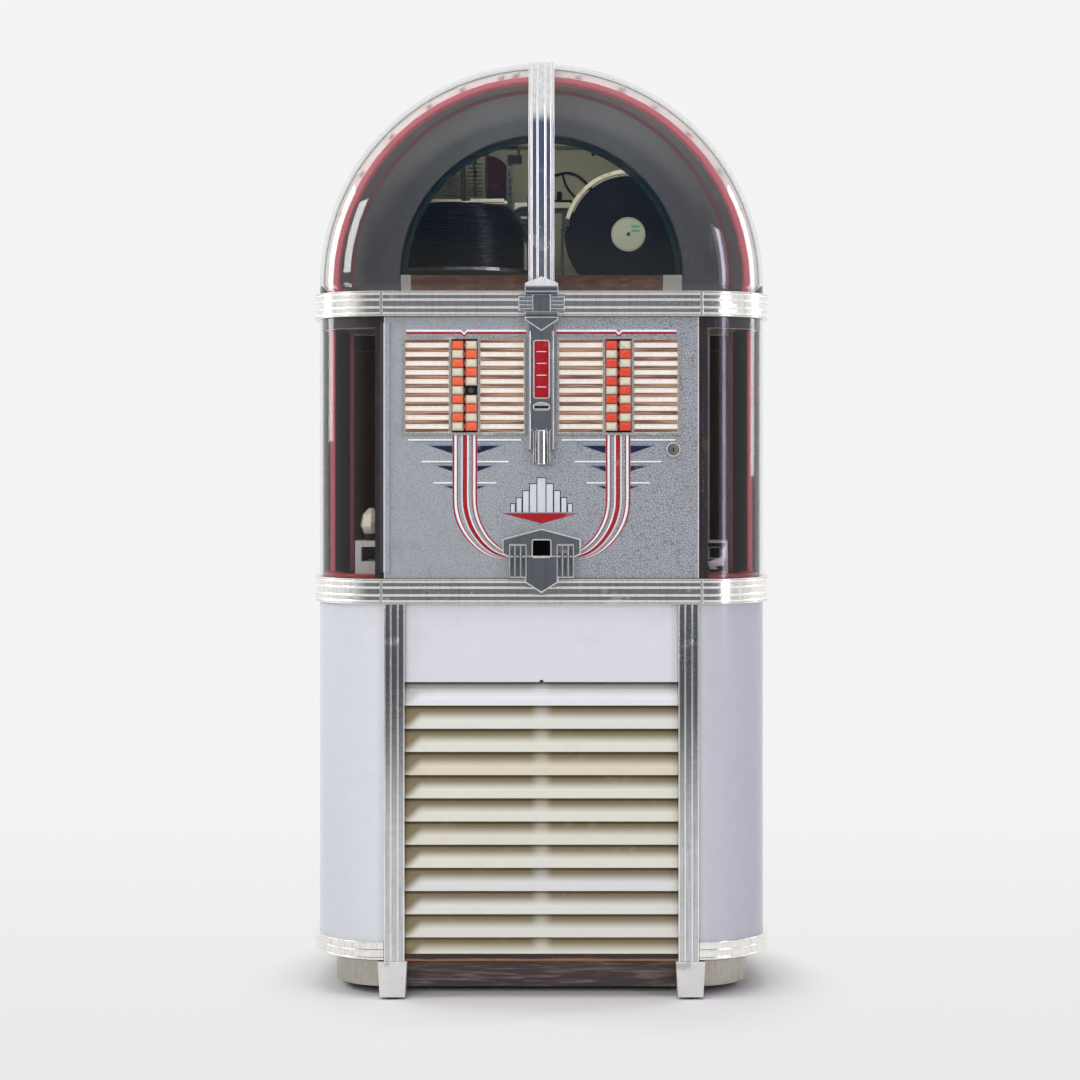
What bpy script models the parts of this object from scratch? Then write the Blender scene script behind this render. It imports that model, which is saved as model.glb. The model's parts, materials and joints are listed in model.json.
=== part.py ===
"""Dome-topped jukebox: wooden cabinet, hinged selection door, hinged clear dome.

Metres, +Z up. The front faces -Y and the origin is under the middle of the box
that holds the whole object.
"""
import math

import bmesh
import bpy
from mathutils import Matrix, Vector

# Clearances and cutter overrun
GAP = 0.0003
RUNNING_GAP = 0.001
OVERRUN = 0.004
BITE = 0.001
WELD = 0.00001

# Cabinet plan and heights
BODY_WIDTH = 0.800
BODY_DEPTH = 0.660
CORNER_RADIUS = 0.122
PLY = 0.0117
SIDE_THICKNESS = 0.012
SHELF_THICKNESS = 0.018
FOOT_HEIGHT = 0.067
LOWER_CABINET_HEIGHT = 0.626
BAND_HEIGHT = 0.045
DOOR_HEIGHT = 0.4595
DOME_LEG = 0.017

# Trim bands
BAND_PROUD = 0.009
FLUTE_PROUD = 0.0055
BAND_RIBS = 4
RIB_SHARE = 0.12
BAND_BEAD = 0.003
BAND_BEAD_PROUD = 0.0018
BOTTOM_BAND_HEIGHT = 0.031
BOTTOM_BAND_LIFT = 0.003
BOTTOM_BAND_RIBS = 3
LID_FRAME_DEPTH = 0.016

# Clear dome, hood and centre strip
DOME_THICKNESS = 0.004
DOME_LIP = 0.010
DOME_STEPS = 13
NOSE_STEPS = 7
HOOD_THICKNESS = 0.012
HOOD_RIM = 0.048
HOOD_RIM_DEPTH = 0.008
STRIP_WIDTH = 0.0456
STRIP_THICKNESS = 0.0053
STRIP_FLUTE_DEPTH = 0.0022
STRIP_REST = 0.060
PANEL_THICKNESS = 0.003
PANEL_OPENING_RADIUS = 0.2550
PANEL_OPENING_RISE = 0.018
SIGN_HEIGHT = 0.030
SIGN_BASE = 0.007
RED_STRIP_WIDTH = 0.008
RED_STRIP_DEPTH = 0.045
RED_STRIP_STEP = 0.012
RED_STRIP_INSET = 0.0265
ARCH_STEPS = 24

# Crown casting on the lid band
CROWN_HALF = 0.0292
CROWN_PEAK_RISE = 0.0245
CROWN_SHOULDER_RISE = 0.0125
CROWN_PROUD = 0.0210
CROWN_FOOT = 0.003
WING_HALF = 0.0404
WING_LOW = 0.0100
WING_HEIGHT = 0.0250
WING_PROUD = 0.0160
WING_RIBS = 4

# Door
DOOR_WIDTH = 0.553
DOOR_THICKNESS = 0.020
DOOR_EDGE_GAP = 0.0010
HINGE_RADIUS = 0.0025
HINGE_LEAF = 0.010
HINGE_LEAF_THICKNESS = 0.0012
DOOR_POST_NOSE = 0.0057
DOOR_POST_SINK = 0.0010
DOOR_POST_WIDTH = 0.015
DOOR_POST_DEPTH = 0.0225

# Title racks and keys
GROUP_X = 0.1350
RACK_WIDTH = 0.2176
RACK_HEIGHT = 0.1729
RACK_CENTRE_Z = 1.07625
RACK_BORDER = 0.0044
RACK_PROUD = 0.0025
RACK_DEPTH = 0.0170
RACK_FLOOR_SINK = 0.0020
RACK_FLOOR_THICKNESS = 0.0040
KEY_CHANNEL_WIDTH = 0.0456
ROWS = 10
ROW_PITCH = 0.01585
DIVIDER_HEIGHT = 0.0052
STEM_PLATE = 0.003
KEY_PITCH = 0.0221
KEY_WIDTH = 0.0209
KEY_HEIGHT = 0.0143
KEY_PROUD = 0.0060
KEY_BODY = 0.0040
KEY_CROWN_SHARE = 0.78
KEY_BAR_HEIGHT = 0.0060
KEY_BAR_DEPTH = 0.0035
KEY_STEM = 0.0040
KEY_TRAVEL = 0.0040
PLUNGER_RADIUS = 0.0030
MISSING_CAP_ROW = 5

# Coin column, lever, lock and payout cup
COLUMN_WIDTH = 0.0439
COLUMN_PROUD = 0.0140
COLUMN_DROP = 0.2350
COLUMN_HEAD_HALF = 0.0292
COLUMN_HEAD_SIDE = 0.0060
COLUMN_HEAD_DROP = 0.0256
COLUMN_HEAD_PROUD = 0.0180
WINDOW_WIDTH = 0.0281
WINDOW_DROP = 0.0404
WINDOW_HEIGHT = 0.1035
WINDOW_DEPTH = 0.0035
SLOT_WIDTH = 0.0270
SLOT_HEIGHT = 0.0062
SLOT_DROP = 0.1587
BEZEL_PROUD = 0.0035
BEZEL_BORDER = 0.0030
LEVER_WIDTH = 0.0167
LEVER_THICKNESS = 0.0060
LEVER_LENGTH = 0.0560
LEVER_TOP_DROP = 0.2020
LEVER_PIN_RADIUS = 0.0020
LEVER_STANDOFF = 0.0100
FIN_THICKNESS = 0.0060
FIN_DROP = 0.2560
LOCK_X = 0.2313
LOCK_Z = 0.9643
LOCK_RING = 0.0123
LOCK_BARREL = 0.0080
LOCK_PROUD = 0.0035
LOCK_TAIL = 0.0060
CAM_LENGTH = 0.0560
CAM_WIDTH = 0.0120
CAM_THICKNESS = 0.0025
CUP_HOLE_WIDTH = 0.0334
CUP_HOLE_HEIGHT = 0.0318
CUP_HOLE_Z = 0.7905
CUP_DEPTH = 0.0450
CUP_WALL = 0.0015
CUP_PROUD = 0.0160
CUP_SHIELD_PROUD = 0.0185
CUP_HALF = 0.0687
CUP_PEAK_RISE = 0.0358
CUP_SHOULDER_RISE = 0.0177
CUP_LOW_DROP = 0.0145
CUP_TAPER = 0.0110
CUP_BLOCK_IN = 0.0265
CUP_BLOCK_OUT = 0.0565
CUP_BLOCK_RISE = 0.0081
CUP_BLOCK_DROP = 0.0509
CUP_FLUTES = 3
CUP_FLUTE_WIDTH = 0.0042
CUP_FLUTE_DEPTH = 0.0030
CUP_SHIELD_HALF = 0.0290
CUP_SHIELD_DROP = 0.0585
CUP_TIP_DROP = 0.0770

# Lower cabinet front
PILASTER_WIDTH = 0.0369
PILASTER_OUTER = 0.2765
PILASTER_PROUD = 0.0080
PILASTER_FLUTE_DEPTH = 0.0030
PILASTER_RIBS = 4
POST_DEPTH = 0.030
CORNER_THICKNESS = 0.003
CHEEK_THICKNESS = 0.004
CORNER_LIP = 0.0115
LIGHT_PANEL_HEIGHT = 0.137
LIGHT_PANEL_SINK = 0.003
LIGHT_PANEL_THICKNESS = 0.004
NOTCH_RADIUS = 0.004
SLAT_PITCH = 0.0407
SLATS = 11
SLAT_THICKNESS = 0.0035
SLAT_DEPTH = 0.030
SLAT_LIP_SINK = 0.001
SLAT_OVERLAP = 0.008
SLAT_POINTS = 6
STILE_WIDTH = 0.009
STILE_DEPTH = 0.012
FOOT_WIDTH = 0.0511
FOOT_BASE_SHARE = 0.87
FOOT_PROUD = 0.0085
GLIDE_RADIUS = 0.013
GLIDE_HEIGHT = 0.004
SKIRT_INSET = 0.030
SKIRT_THICKNESS = 0.002
SKIRT_LIFT = 0.016
PLINTH_THICKNESS = 0.018
PLINTH_SINK = 0.045
PLINTH_LIFT = 0.012
PLINTH_FRONT_HALF = 0.300
REAR_FOOT = 0.045
REAR_FOOT_INSET = 0.060
RAIL_HEIGHT = 0.0190
RAIL_DEPTH = 0.0180
BAFFLE_SINK = 0.075
BAFFLE_THICKNESS = 0.015
SPEAKER_HOLE = 0.145
SPEAKER_Z = 0.330
REAR_COVER_THICKNESS = 0.008
REAR_RAIL_HEIGHT = 0.032
VENT_WIDTH = 0.150
VENT_HEIGHT = 0.010
VENT_PITCH = 0.030
VENTS = 8
VENT_BASE = 0.250
KNUCKLE_RADIUS = 0.006
KNUCKLE_LENGTH = 0.060
KNUCKLES = 5

# Speaker and amplifier
SPEAKER_RADIUS = 0.168
CONE_RADIUS = 0.138
SPEAKER_FLANGE = 0.004
SPEAKER_DEPTH = 0.110
MAGNET_RADIUS = 0.060
MAGNET_DEPTH = 0.040
DUST_CAP_RADIUS = 0.035
AMP_WIDTH = 0.360
AMP_DEPTH = 0.170
AMP_HEIGHT = 0.060
AMP_REAR_CLEARANCE = 0.060
TUBE_RADIUS = 0.018
TUBE_HEIGHT = 0.085
TUBES = 4
TUBE_PITCH = 0.055
TRANSFORMER_SIZE = 0.080

# Record changer
BED_THICKNESS = 0.014
BED_HALF = 0.335
BED_FRONT = 0.100
BED_DEPTH = 0.470
BED_BRACKET_HEIGHT = 0.062
BED_BRACKET_WIDTH = 0.048
BED_BRACKET_DEPTH = 0.050
BRACKET_WINDOW = 0.026
DECK_TOP = 1.215
DECK_THICKNESS = 0.010
DECK_LEFT = 0.018
DECK_RIGHT = 0.335
DECK_SIDE = 0.020
DECK_WALL_DEPTH = 0.120
RECORD_RADIUS = 0.125
RECORD_THICKNESS = 0.0025
LABEL_RADIUS = 0.042
RECORD_HOLE = 0.0038
HELD_X = 0.170
HELD_Z = 1.385
HELD_DEPTH = 0.455
PIVOT_CLEARANCE = 0.0050
PLATTER_RADIUS = 0.112
PLATTER_THICKNESS = 0.015
PLATTER_DROP = 0.0020
SPINDLE_RADIUS = 0.0032
SPINDLE_RISE = 0.0040
SHAFT_RADIUS = 0.008
SHAFT_TAIL = 0.040
BOW_WIDTH = 0.011
BOW_DEPTH = 0.012
BOW_START = 84
BOW_STEPS = 10
BOW_BLOCK = 0.030
PIVOT_RADIUS = 0.006
PIVOT_TAIL = 0.014
TONEARM_X = 0.318
TONEARM_BACK = 0.010
TONEARM_LENGTH = 0.185
TONEARM_LIFT = 0.017
TONEARM_RADIUS = 0.0045
TONEARM_POST = 0.011
TONEARM_HEAD = 0.016
TONEARM_HEAD_LENGTH = 0.030
STACK_X = -0.155
STACK_DEPTH = 0.400
STACK_TOP = 1.4525
STACK_RECORDS = 14
STACK_PITCH = 0.0110
TRAY_THICKNESS = 0.006
TRAY_RADIUS = 0.136
RACK_POST_RADIUS = 0.0055
RACK_POST_STANDOFF = 0.133
TOWER_TOP = 1.545
TOWER_SPACING = 0.046
COMB_BAR = 0.006
COMB_TIE_HEIGHT = 0.007
TINES = 10
TINE_PITCH = 0.0078
TINE_THICKNESS = 0.0024
TINE_LENGTH = 0.030
MOTOR_RADIUS = 0.032
MOTOR_LENGTH = 0.095
MOTOR_X = -0.325
MOTOR_DEPTH = 0.215
MOTOR_LIFT = 0.042
MOTOR_FOOT = 0.040
MOTOR_SHAFT_RADIUS = 0.006
MOTOR_SHAFT_LENGTH = 0.030

# Sides of round shapes
ROUND_SIDES = 24
FINE_SIDES = 32
STACK_SIDES = 22
SMALL_SIDES = 12

# Positions that follow from the sizes above
BODY_HALF = BODY_WIDTH / 2
FLAT_HALF = BODY_HALF - CORNER_RADIUS
LEVER_PROUD = LEVER_STANDOFF + LEVER_THICKNESS
FRONT_REACH = max(CROWN_PROUD, LEVER_PROUD, CUP_SHIELD_PROUD, COLUMN_HEAD_PROUD)
HINGE_REACH = GAP + 2 * KNUCKLE_RADIUS
Y_FRONT = (FRONT_REACH - BODY_DEPTH - HINGE_REACH) / 2
Y_REAR = Y_FRONT + BODY_DEPTH
Y_CORNER = Y_FRONT + CORNER_RADIUS
FLOOR_BASE = FOOT_HEIGHT + GAP
FLOOR_TOP = FLOOR_BASE + PLY
LOWER_BAND_BASE = FOOT_HEIGHT + LOWER_CABINET_HEIGHT
LOWER_BAND_TOP = LOWER_BAND_BASE + BAND_HEIGHT
SHELF_TOP = LOWER_BAND_TOP
SHELF_BASE = SHELF_TOP - SHELF_THICKNESS
DOOR_BASE = LOWER_BAND_TOP + 2 * GAP
DOOR_TOP = DOOR_BASE + DOOR_HEIGHT - 4 * GAP
CABINET_TOP = DOOR_TOP + 2 * GAP
LID_BASE = CABINET_TOP + GAP
LID_BAND_TOP = LID_BASE + BAND_HEIGHT
ARCH_BASE = LID_BAND_TOP + GAP
ARCH_Z = LID_BAND_TOP + DOME_LEG
HOOD_FRONT = Y_CORNER + DOME_LIP + GAP
DOOR_HALF = DOOR_WIDTH / 2
DOOR_POST_INNER = DOOR_HALF + DOOR_EDGE_GAP
DOOR_HINGE_X = -DOOR_POST_INNER - HINGE_RADIUS
DOOR_HINGE_Y = Y_FRONT - HINGE_RADIUS - GAP
HINGE_Y = Y_REAR + GAP + KNUCKLE_RADIUS
HINGE_Z = CABINET_TOP + GAP / 2
BED_BASE = SHELF_TOP + GAP
BED_TOP = BED_BASE + BED_THICKNESS
HELD_Y = Y_FRONT + HELD_DEPTH
PIVOT_Z = HELD_Z - RECORD_RADIUS - PIVOT_CLEARANCE
PLATTER_X = HELD_X
PLATTER_Y = HELD_Y - (HELD_Z - PIVOT_Z)
PLATTER_TOP = PIVOT_Z - RECORD_THICKNESS / 2 - PLATTER_DROP
STACK_Y = Y_FRONT + STACK_DEPTH
STACK_BASE = STACK_TOP - (STACK_RECORDS - 1) * STACK_PITCH - RECORD_THICKNESS
TONEARM_Y = HELD_Y + TONEARM_BACK
TONEARM_Z = PIVOT_Z + TONEARM_LIFT
LEVER_PIN_Z = DOOR_TOP - LEVER_TOP_DROP
LEVER_PIN_Y = Y_FRONT - LEVER_STANDOFF - LEVER_THICKNESS / 2


def clear_scene():
    for obj in list(bpy.data.objects):
        bpy.data.objects.remove(obj, do_unlink=True)


def make_collection(name):
    collection = bpy.data.collections.new(name)
    bpy.context.scene.collection.children.link(collection)
    return collection


clear_scene()
PARTS = make_collection("jukebox")
GUIDES = make_collection("guides_and_cutters")


def make_material(name, color, roughness, metallic=0.0, transmission=0.0):
    material = bpy.data.materials.new(name)
    material.use_nodes = True
    shader = material.node_tree.nodes["Principled BSDF"]
    shader.inputs["Base Color"].default_value = (*color, 1.0)
    shader.inputs["Roughness"].default_value = roughness
    shader.inputs["Metallic"].default_value = metallic
    shader.inputs["Transmission Weight"].default_value = transmission
    material.diffuse_color = (*color, 1.0)
    return material


# Shapes. Each helper returns a guide object, hidden from renders, in world place.
def guide(mesh, location=(0, 0, 0)):
    obj = bpy.data.objects.new("guide", mesh)
    obj.location = location
    obj.hide_render = True
    obj.display_type = "WIRE"
    GUIDES.objects.link(obj)
    return obj


def guide_from_bmesh(bm, location=(0, 0, 0)):
    mesh = bpy.data.meshes.new("guide")
    bm.to_mesh(mesh)
    bm.free()
    return guide(mesh, location)


def block(low, high):
    low = Vector(low)
    high = Vector(high)
    bm = bmesh.new()
    bmesh.ops.create_cube(bm, size=1)
    bmesh.ops.scale(bm, vec=high - low, verts=bm.verts)
    return guide_from_bmesh(bm, (low + high) / 2)


def rod(start, end, radius, sides=ROUND_SIDES):
    start = Vector(start)
    end = Vector(end)
    bm = bmesh.new()
    bmesh.ops.create_cone(
        bm, cap_ends=True, segments=sides, radius1=radius, radius2=radius, depth=(end - start).length
    )
    obj = guide_from_bmesh(bm, (start + end) / 2)
    obj.rotation_euler = (end - start).to_track_quat("Z", "Y").to_euler()
    return obj


def flat_curve(outlines, cyclic=True):
    curve = bpy.data.curves.new("outline", "CURVE")
    curve.dimensions = "2D"
    for outline in outlines:
        spline = curve.splines.new("POLY")
        spline.points.add(len(outline) - 1)
        for point, (across, up) in zip(spline.points, outline):
            point.co = (across, up, 0, 1)
        spline.use_cyclic_u = cyclic
    obj = bpy.data.objects.new("outline", curve)
    GUIDES.objects.link(obj)
    return obj


def turn_to_axis(obj, axis):
    if axis == "Y":
        obj.rotation_euler = (math.pi / 2, 0, 0)
    elif axis == "X":
        obj.rotation_euler = (math.pi / 2, 0, math.pi / 2)


def curve_to_mesh(curve_object):
    bpy.context.view_layer.update()
    depsgraph = bpy.context.evaluated_depsgraph_get()
    mesh = bpy.data.meshes.new_from_object(curve_object.evaluated_get(depsgraph))
    bm = bmesh.new()
    bm.from_mesh(mesh)
    bmesh.ops.remove_doubles(bm, verts=bm.verts, dist=WELD)
    bmesh.ops.recalc_face_normals(bm, faces=bm.faces)
    bm.to_mesh(mesh)
    bm.free()
    obj = guide(mesh)
    obj.matrix_world = curve_object.matrix_world.copy()
    bpy.data.objects.remove(curve_object, do_unlink=True)
    return obj


def extruded(outlines, low, high, axis):
    """Flat outlines, holes included, run along one axis from low to high."""
    curve_object = flat_curve(outlines)
    curve_object.data.fill_mode = "BOTH"
    curve_object.data.extrude = (high - low) / 2
    turn_to_axis(curve_object, axis)
    curve_object.location["XYZ".index(axis)] = (low + high) / 2
    return curve_to_mesh(curve_object)


def swept(path, section, axis="Z", closed=False):
    """A section of (outward, along axis) points run along a flat path."""
    section_object = flat_curve([section])
    path_object = flat_curve([path], cyclic=closed)
    path_object.data.fill_mode = "NONE"
    path_object.data.bevel_mode = "OBJECT"
    path_object.data.bevel_object = section_object
    path_object.data.use_fill_caps = not closed
    turn_to_axis(path_object, axis)
    obj = curve_to_mesh(path_object)
    bpy.data.objects.remove(section_object, do_unlink=True)
    return obj


def turned(profile, centre, axis="Z", sides=FINE_SIDES):
    """A profile of (radius, height) points, on the axis at both ends, spun round."""
    bm = bmesh.new()
    verts = [bm.verts.new((radius, 0, height)) for radius, height in profile]
    for first, second in zip(verts, verts[1:]):
        bm.edges.new((first, second))
    obj = guide_from_bmesh(bm, centre)
    if axis == "Y":
        obj.rotation_euler = (math.pi / 2, 0, 0)
    screw = obj.modifiers.new("turn", "SCREW")
    screw.steps = sides
    screw.render_steps = sides
    screw.use_merge_vertices = True
    screw.merge_threshold = WELD
    return obj


def combine(operation, target, others):
    group = bpy.data.collections.new("operands")
    GUIDES.children.link(group)
    for other in others:
        group.objects.link(other)
    boolean = target.modifiers.new(operation.lower(), "BOOLEAN")
    boolean.operation = operation
    boolean.solver = "EXACT"
    boolean.operand_type = "COLLECTION"
    boolean.collection = group
    return target


def fused(target, *others):
    return combine("UNION", target, others)


def cut(target, *cutters):
    return combine("DIFFERENCE", target, cutters)


def world_mesh(obj):
    bpy.context.view_layer.update()
    depsgraph = bpy.context.evaluated_depsgraph_get()
    mesh = bpy.data.meshes.new_from_object(obj.evaluated_get(depsgraph))
    mesh.transform(obj.matrix_world)
    return mesh


def mirrored(obj):
    """A copy of the evaluated shape on the other side of the X = 0 plane."""
    mesh = world_mesh(obj)
    mesh.transform(Matrix.Scale(-1, 4, (1, 0, 0)))
    mesh.flip_normals()
    return guide(mesh)


def finish(obj, name, material, origin=None, smooth_angle=35):
    """Make a guide a named part, with its origin on its joint where it has one."""
    mesh = world_mesh(obj)
    origin = Vector(origin or (0, 0, 0))
    mesh.transform(Matrix.Translation(-origin))
    mesh.materials.clear()
    mesh.materials.append(material)
    mesh.shade_smooth()
    mesh.set_sharp_from_angle(angle=math.radians(smooth_angle))
    mesh.name = name
    part = bpy.data.objects.new(name, mesh)
    part.location = origin
    PARTS.objects.link(part)
    return part


# Outlines shared by several parts
def arc(centre, radius, start, end, steps):
    """Points on an arc, angles in degrees from the first axis."""
    points = []
    for step in range(steps + 1):
        angle = math.radians(start + (end - start) * step / steps)
        points.append((centre[0] + radius * math.cos(angle), centre[1] + radius * math.sin(angle)))
    return points


def corner_path(inset, y_end, x_start=None, steps=NOSE_STEPS):
    """Half of the cabinet's plan: front, round corner and side, on the +X side."""
    radius = CORNER_RADIUS - inset
    points = arc((FLAT_HALF, Y_CORNER), radius, -90, 0, steps)
    if x_start is not None:
        across = max(x_start - FLAT_HALF, 0)
        y_start = Y_CORNER - math.sqrt(radius**2 - across**2)
        points = [(x_start, y_start)] + [point for point in points if point[0] > x_start + WELD]
    points.append((BODY_HALF - inset, y_end))
    return points


def plan_path(inset, y_end):
    """The whole front of the cabinet's plan, from rear left round to rear right."""
    right = corner_path(inset, y_end)
    left = [(-x, y) for x, y in reversed(right)]
    return left + right


def arch_outline(radius, base, steps=ARCH_STEPS):
    """A round-topped outline in X and Z, straight below the arch centre."""
    points = arc((0, ARCH_Z), radius, 0, 180, steps)
    return [(radius, base)] + points + [(-radius, base)]


def rectangle(low, high):
    return [(low[0], low[1]), (high[0], low[1]), (high[0], high[1]), (low[0], high[1])]


def ribbed_section(low, high, back, flute, rib, ribs):
    """A section with square ribs and flutes on its outer side, low to high."""
    rib_height = (high - low) * RIB_SHARE
    flute_height = (high - low - ribs * rib_height) / (ribs - 1)
    points = [(back, high), (back, low)]
    level = low
    for index in range(ribs):
        points += [(rib, level), (rib, level + rib_height)]
        level += rib_height
        if index < ribs - 1:
            points += [(flute, level), (flute, level + flute_height)]
            level += flute_height
    return points


def fluted_outline(low, high, back, front, flute_depth, ribs, rib_width):
    """An outline in X and Y with flutes cut in its front edge."""
    flute_width = (high - low - ribs * rib_width) / (ribs - 1)
    points = [(high, back), (low, back)]
    x = low
    for index in range(ribs):
        points += [(x, front), (x + rib_width, front)]
        x += rib_width
        if index < ribs - 1:
            points += [(x, front + flute_depth), (x + flute_width, front + flute_depth)]
            x += flute_width
    return points


# Cabinet
def cabinet_carcase(material):
    floor = extruded([plan_path(0, Y_REAR)], FLOOR_BASE, FLOOR_TOP, "Z")
    rear_gap = REAR_COVER_THICKNESS + GAP
    shelf = extruded([plan_path(0, Y_REAR - rear_gap)], SHELF_BASE, SHELF_TOP, "Z")
    pieces = [shelf]
    side_front = Y_CORNER + CORNER_LIP + GAP
    for side in (-1, 1):
        x_low, x_high = sorted((side * (BODY_HALF - SIDE_THICKNESS), side * BODY_HALF))
        pieces.append(block((x_low, side_front, FLOOR_BASE), (x_high, Y_REAR, CABINET_TOP)))
        x_low, x_high = sorted((side * (PILASTER_OUTER - PILASTER_WIDTH), side * PILASTER_OUTER))
        pieces.append(
            block((x_low, Y_FRONT, FLOOR_TOP - BITE), (x_high, Y_FRONT + POST_DEPTH, SHELF_BASE + BITE))
        )
        pieces.append(door_post(side))
        pieces += plinth_side(side)
    pieces.append(plinth_front())
    rail_base = CABINET_TOP - RAIL_HEIGHT
    rail_section = rectangle((-RAIL_DEPTH, rail_base), (0, CABINET_TOP))
    rail_path = plan_path(CHEEK_THICKNESS + GAP, side_front + RAIL_HEIGHT)
    front_rail = swept(rail_path, rail_section)
    header_front = Y_FRONT + DOOR_THICKNESS + RUNNING_GAP
    header = block(
        (-DOOR_POST_INNER - DOOR_POST_WIDTH, header_front, rail_base),
        (DOOR_POST_INNER + DOOR_POST_WIDTH, header_front + RAIL_DEPTH, CABINET_TOP),
    )
    pieces += [front_rail, header]
    inner_half = BODY_HALF - SIDE_THICKNESS + BITE
    pieces.append(
        block(
            (-inner_half, Y_REAR - PLY, CABINET_TOP - REAR_RAIL_HEIGHT),
            (inner_half, Y_REAR, CABINET_TOP),
        )
    )
    baffle_front = Y_FRONT + BAFFLE_SINK
    baffle = block(
        (-PLINTH_FRONT_HALF, baffle_front, FLOOR_TOP - BITE),
        (PLINTH_FRONT_HALF, baffle_front + BAFFLE_THICKNESS, SHELF_BASE + BITE),
    )
    pieces.append(baffle)
    carcase = fused(floor, *pieces)
    door_clearance = block(
        (-DOOR_POST_INNER, Y_FRONT - OVERRUN, SHELF_TOP + GAP),
        (DOOR_POST_INNER, header_front, CABINET_TOP + OVERRUN),
    )
    speaker_hole = rod(
        (0, baffle_front - OVERRUN, SPEAKER_Z),
        (0, baffle_front + BAFFLE_THICKNESS + OVERRUN, SPEAKER_Z),
        SPEAKER_HOLE,
    )
    carcase = cut(carcase, door_clearance, speaker_hole)
    fused(carcase, *hinge_knuckles(range(1, KNUCKLES, 2), below=True))
    return finish(carcase, "cabinet_carcase", material)


def door_post(side):
    cheek_back = CHEEK_THICKNESS + 2 * GAP
    outline = [
        (DOOR_POST_INNER, Y_FRONT + DOOR_POST_SINK),
        (DOOR_POST_INNER + DOOR_POST_NOSE, Y_FRONT + DOOR_POST_SINK),
        (DOOR_POST_INNER + DOOR_POST_NOSE, Y_FRONT + cheek_back),
        (DOOR_POST_INNER + DOOR_POST_WIDTH, Y_FRONT + cheek_back + DOOR_POST_NOSE / 2),
        (DOOR_POST_INNER + DOOR_POST_WIDTH, Y_FRONT + DOOR_POST_DEPTH),
        (DOOR_POST_INNER, Y_FRONT + DOOR_POST_DEPTH),
    ]
    outline = [(side * x, y) for x, y in outline]
    return extruded([outline], SHELF_TOP - BITE, CABINET_TOP, "Z")


def plinth_side(side):
    outer = BODY_HALF - SKIRT_INSET - SKIRT_THICKNESS - GAP
    x_low, x_high = sorted((side * (outer - PLINTH_THICKNESS), side * outer))
    board = block(
        (x_low, Y_CORNER, PLINTH_LIFT),
        (x_high, Y_REAR - SKIRT_INSET - SKIRT_THICKNESS - GAP, FLOOR_BASE + BITE),
    )
    foot_rear = Y_REAR - REAR_FOOT_INSET
    x_low, x_high = sorted(
        (side * (outer - REAR_FOOT - PLINTH_THICKNESS + BITE), side * (outer - PLINTH_THICKNESS + BITE))
    )
    foot = block((x_low, foot_rear - REAR_FOOT, 0), (x_high, foot_rear, FLOOR_BASE + BITE))
    return [board, foot]


def plinth_front():
    front = Y_FRONT + PLINTH_SINK
    return block(
        (-PLINTH_FRONT_HALF, front, PLINTH_LIFT),
        (PLINTH_FRONT_HALF, front + PLINTH_THICKNESS, FLOOR_BASE + BITE),
    )


def hinge_knuckles(places, below):
    """Barrels of the lid hinge at the rear, each with its leaf."""
    shapes = []
    run = KNUCKLES * KNUCKLE_LENGTH
    leaf_far = -2 * KNUCKLE_RADIUS if below else 2 * KNUCKLE_RADIUS
    for place in places:
        x_low = place * KNUCKLE_LENGTH - run / 2 + RUNNING_GAP / 2
        x_high = x_low + KNUCKLE_LENGTH - RUNNING_GAP
        shapes.append(
            rod((x_low, HINGE_Y, HINGE_Z), (x_high, HINGE_Y, HINGE_Z), KNUCKLE_RADIUS, SMALL_SIDES)
        )
        z_low, z_high = sorted((HINGE_Z, HINGE_Z + leaf_far))
        shapes.append(block((x_low, Y_REAR - BITE, z_low + GAP), (x_high, HINGE_Y, z_high - GAP)))
    return shapes


def base_skirt(material):
    front = corner_path(SKIRT_INSET, Y_REAR - SKIRT_INSET, x_start=PILASTER_OUTER - PILASTER_WIDTH / 2)
    path = front + [(-x, y) for x, y in reversed(front)]
    section = rectangle((-SKIRT_THICKNESS, SKIRT_LIFT), (0, FLOOR_BASE - GAP))
    return finish(swept(path, section), "base_skirt", material)


def front_foot(side, material):
    centre_x = PILASTER_OUTER - PILASTER_WIDTH / 2 + (FOOT_WIDTH - PILASTER_WIDTH) / 4
    top = FOOT_HEIGHT
    bm = bmesh.new()
    bmesh.ops.create_cube(bm, size=1)
    depth = FOOT_PROUD + SKIRT_INSET - GAP
    size = (FOOT_WIDTH, depth, top - GLIDE_HEIGHT)
    bmesh.ops.scale(bm, vec=size, verts=bm.verts)
    lower = [vert for vert in bm.verts if vert.co.z < 0]
    bmesh.ops.scale(bm, vec=(FOOT_BASE_SHARE, FOOT_BASE_SHARE, 1), verts=lower)
    y_centre = Y_FRONT - FOOT_PROUD + depth / 2
    body = guide_from_bmesh(bm, (side * centre_x, y_centre, (top + GLIDE_HEIGHT) / 2))
    glide = rod(
        (side * centre_x, y_centre, 0),
        (side * centre_x, y_centre, GLIDE_HEIGHT + BITE),
        GLIDE_RADIUS,
    )
    name = "front_foot_left" if side < 0 else "front_foot_right"
    return finish(fused(body, glide), name, material)


def curved_pair(section, x_start, y_end, inset, name, material):
    """A curved front corner piece on the right, and its mirror on the left."""
    right = swept(corner_path(inset, y_end, x_start), section)
    left = mirrored(right)
    finish(left, name + "_left", material)
    finish(right, name + "_right", material)


def corner_panels(material):
    section = rectangle((-CORNER_THICKNESS, FLOOR_TOP + GAP), (0, SHELF_BASE - GAP))
    curved_pair(section, PILASTER_OUTER + GAP, Y_CORNER + CORNER_LIP, 0, "corner_panel", material)


def side_windows(material):
    section = rectangle((-CHEEK_THICKNESS, SHELF_TOP + GAP), (0, CABINET_TOP))
    start = DOOR_POST_INNER + DOOR_POST_NOSE + RUNNING_GAP
    curved_pair(section, start, Y_CORNER + CORNER_LIP, 0, "side_window", material)


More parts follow.
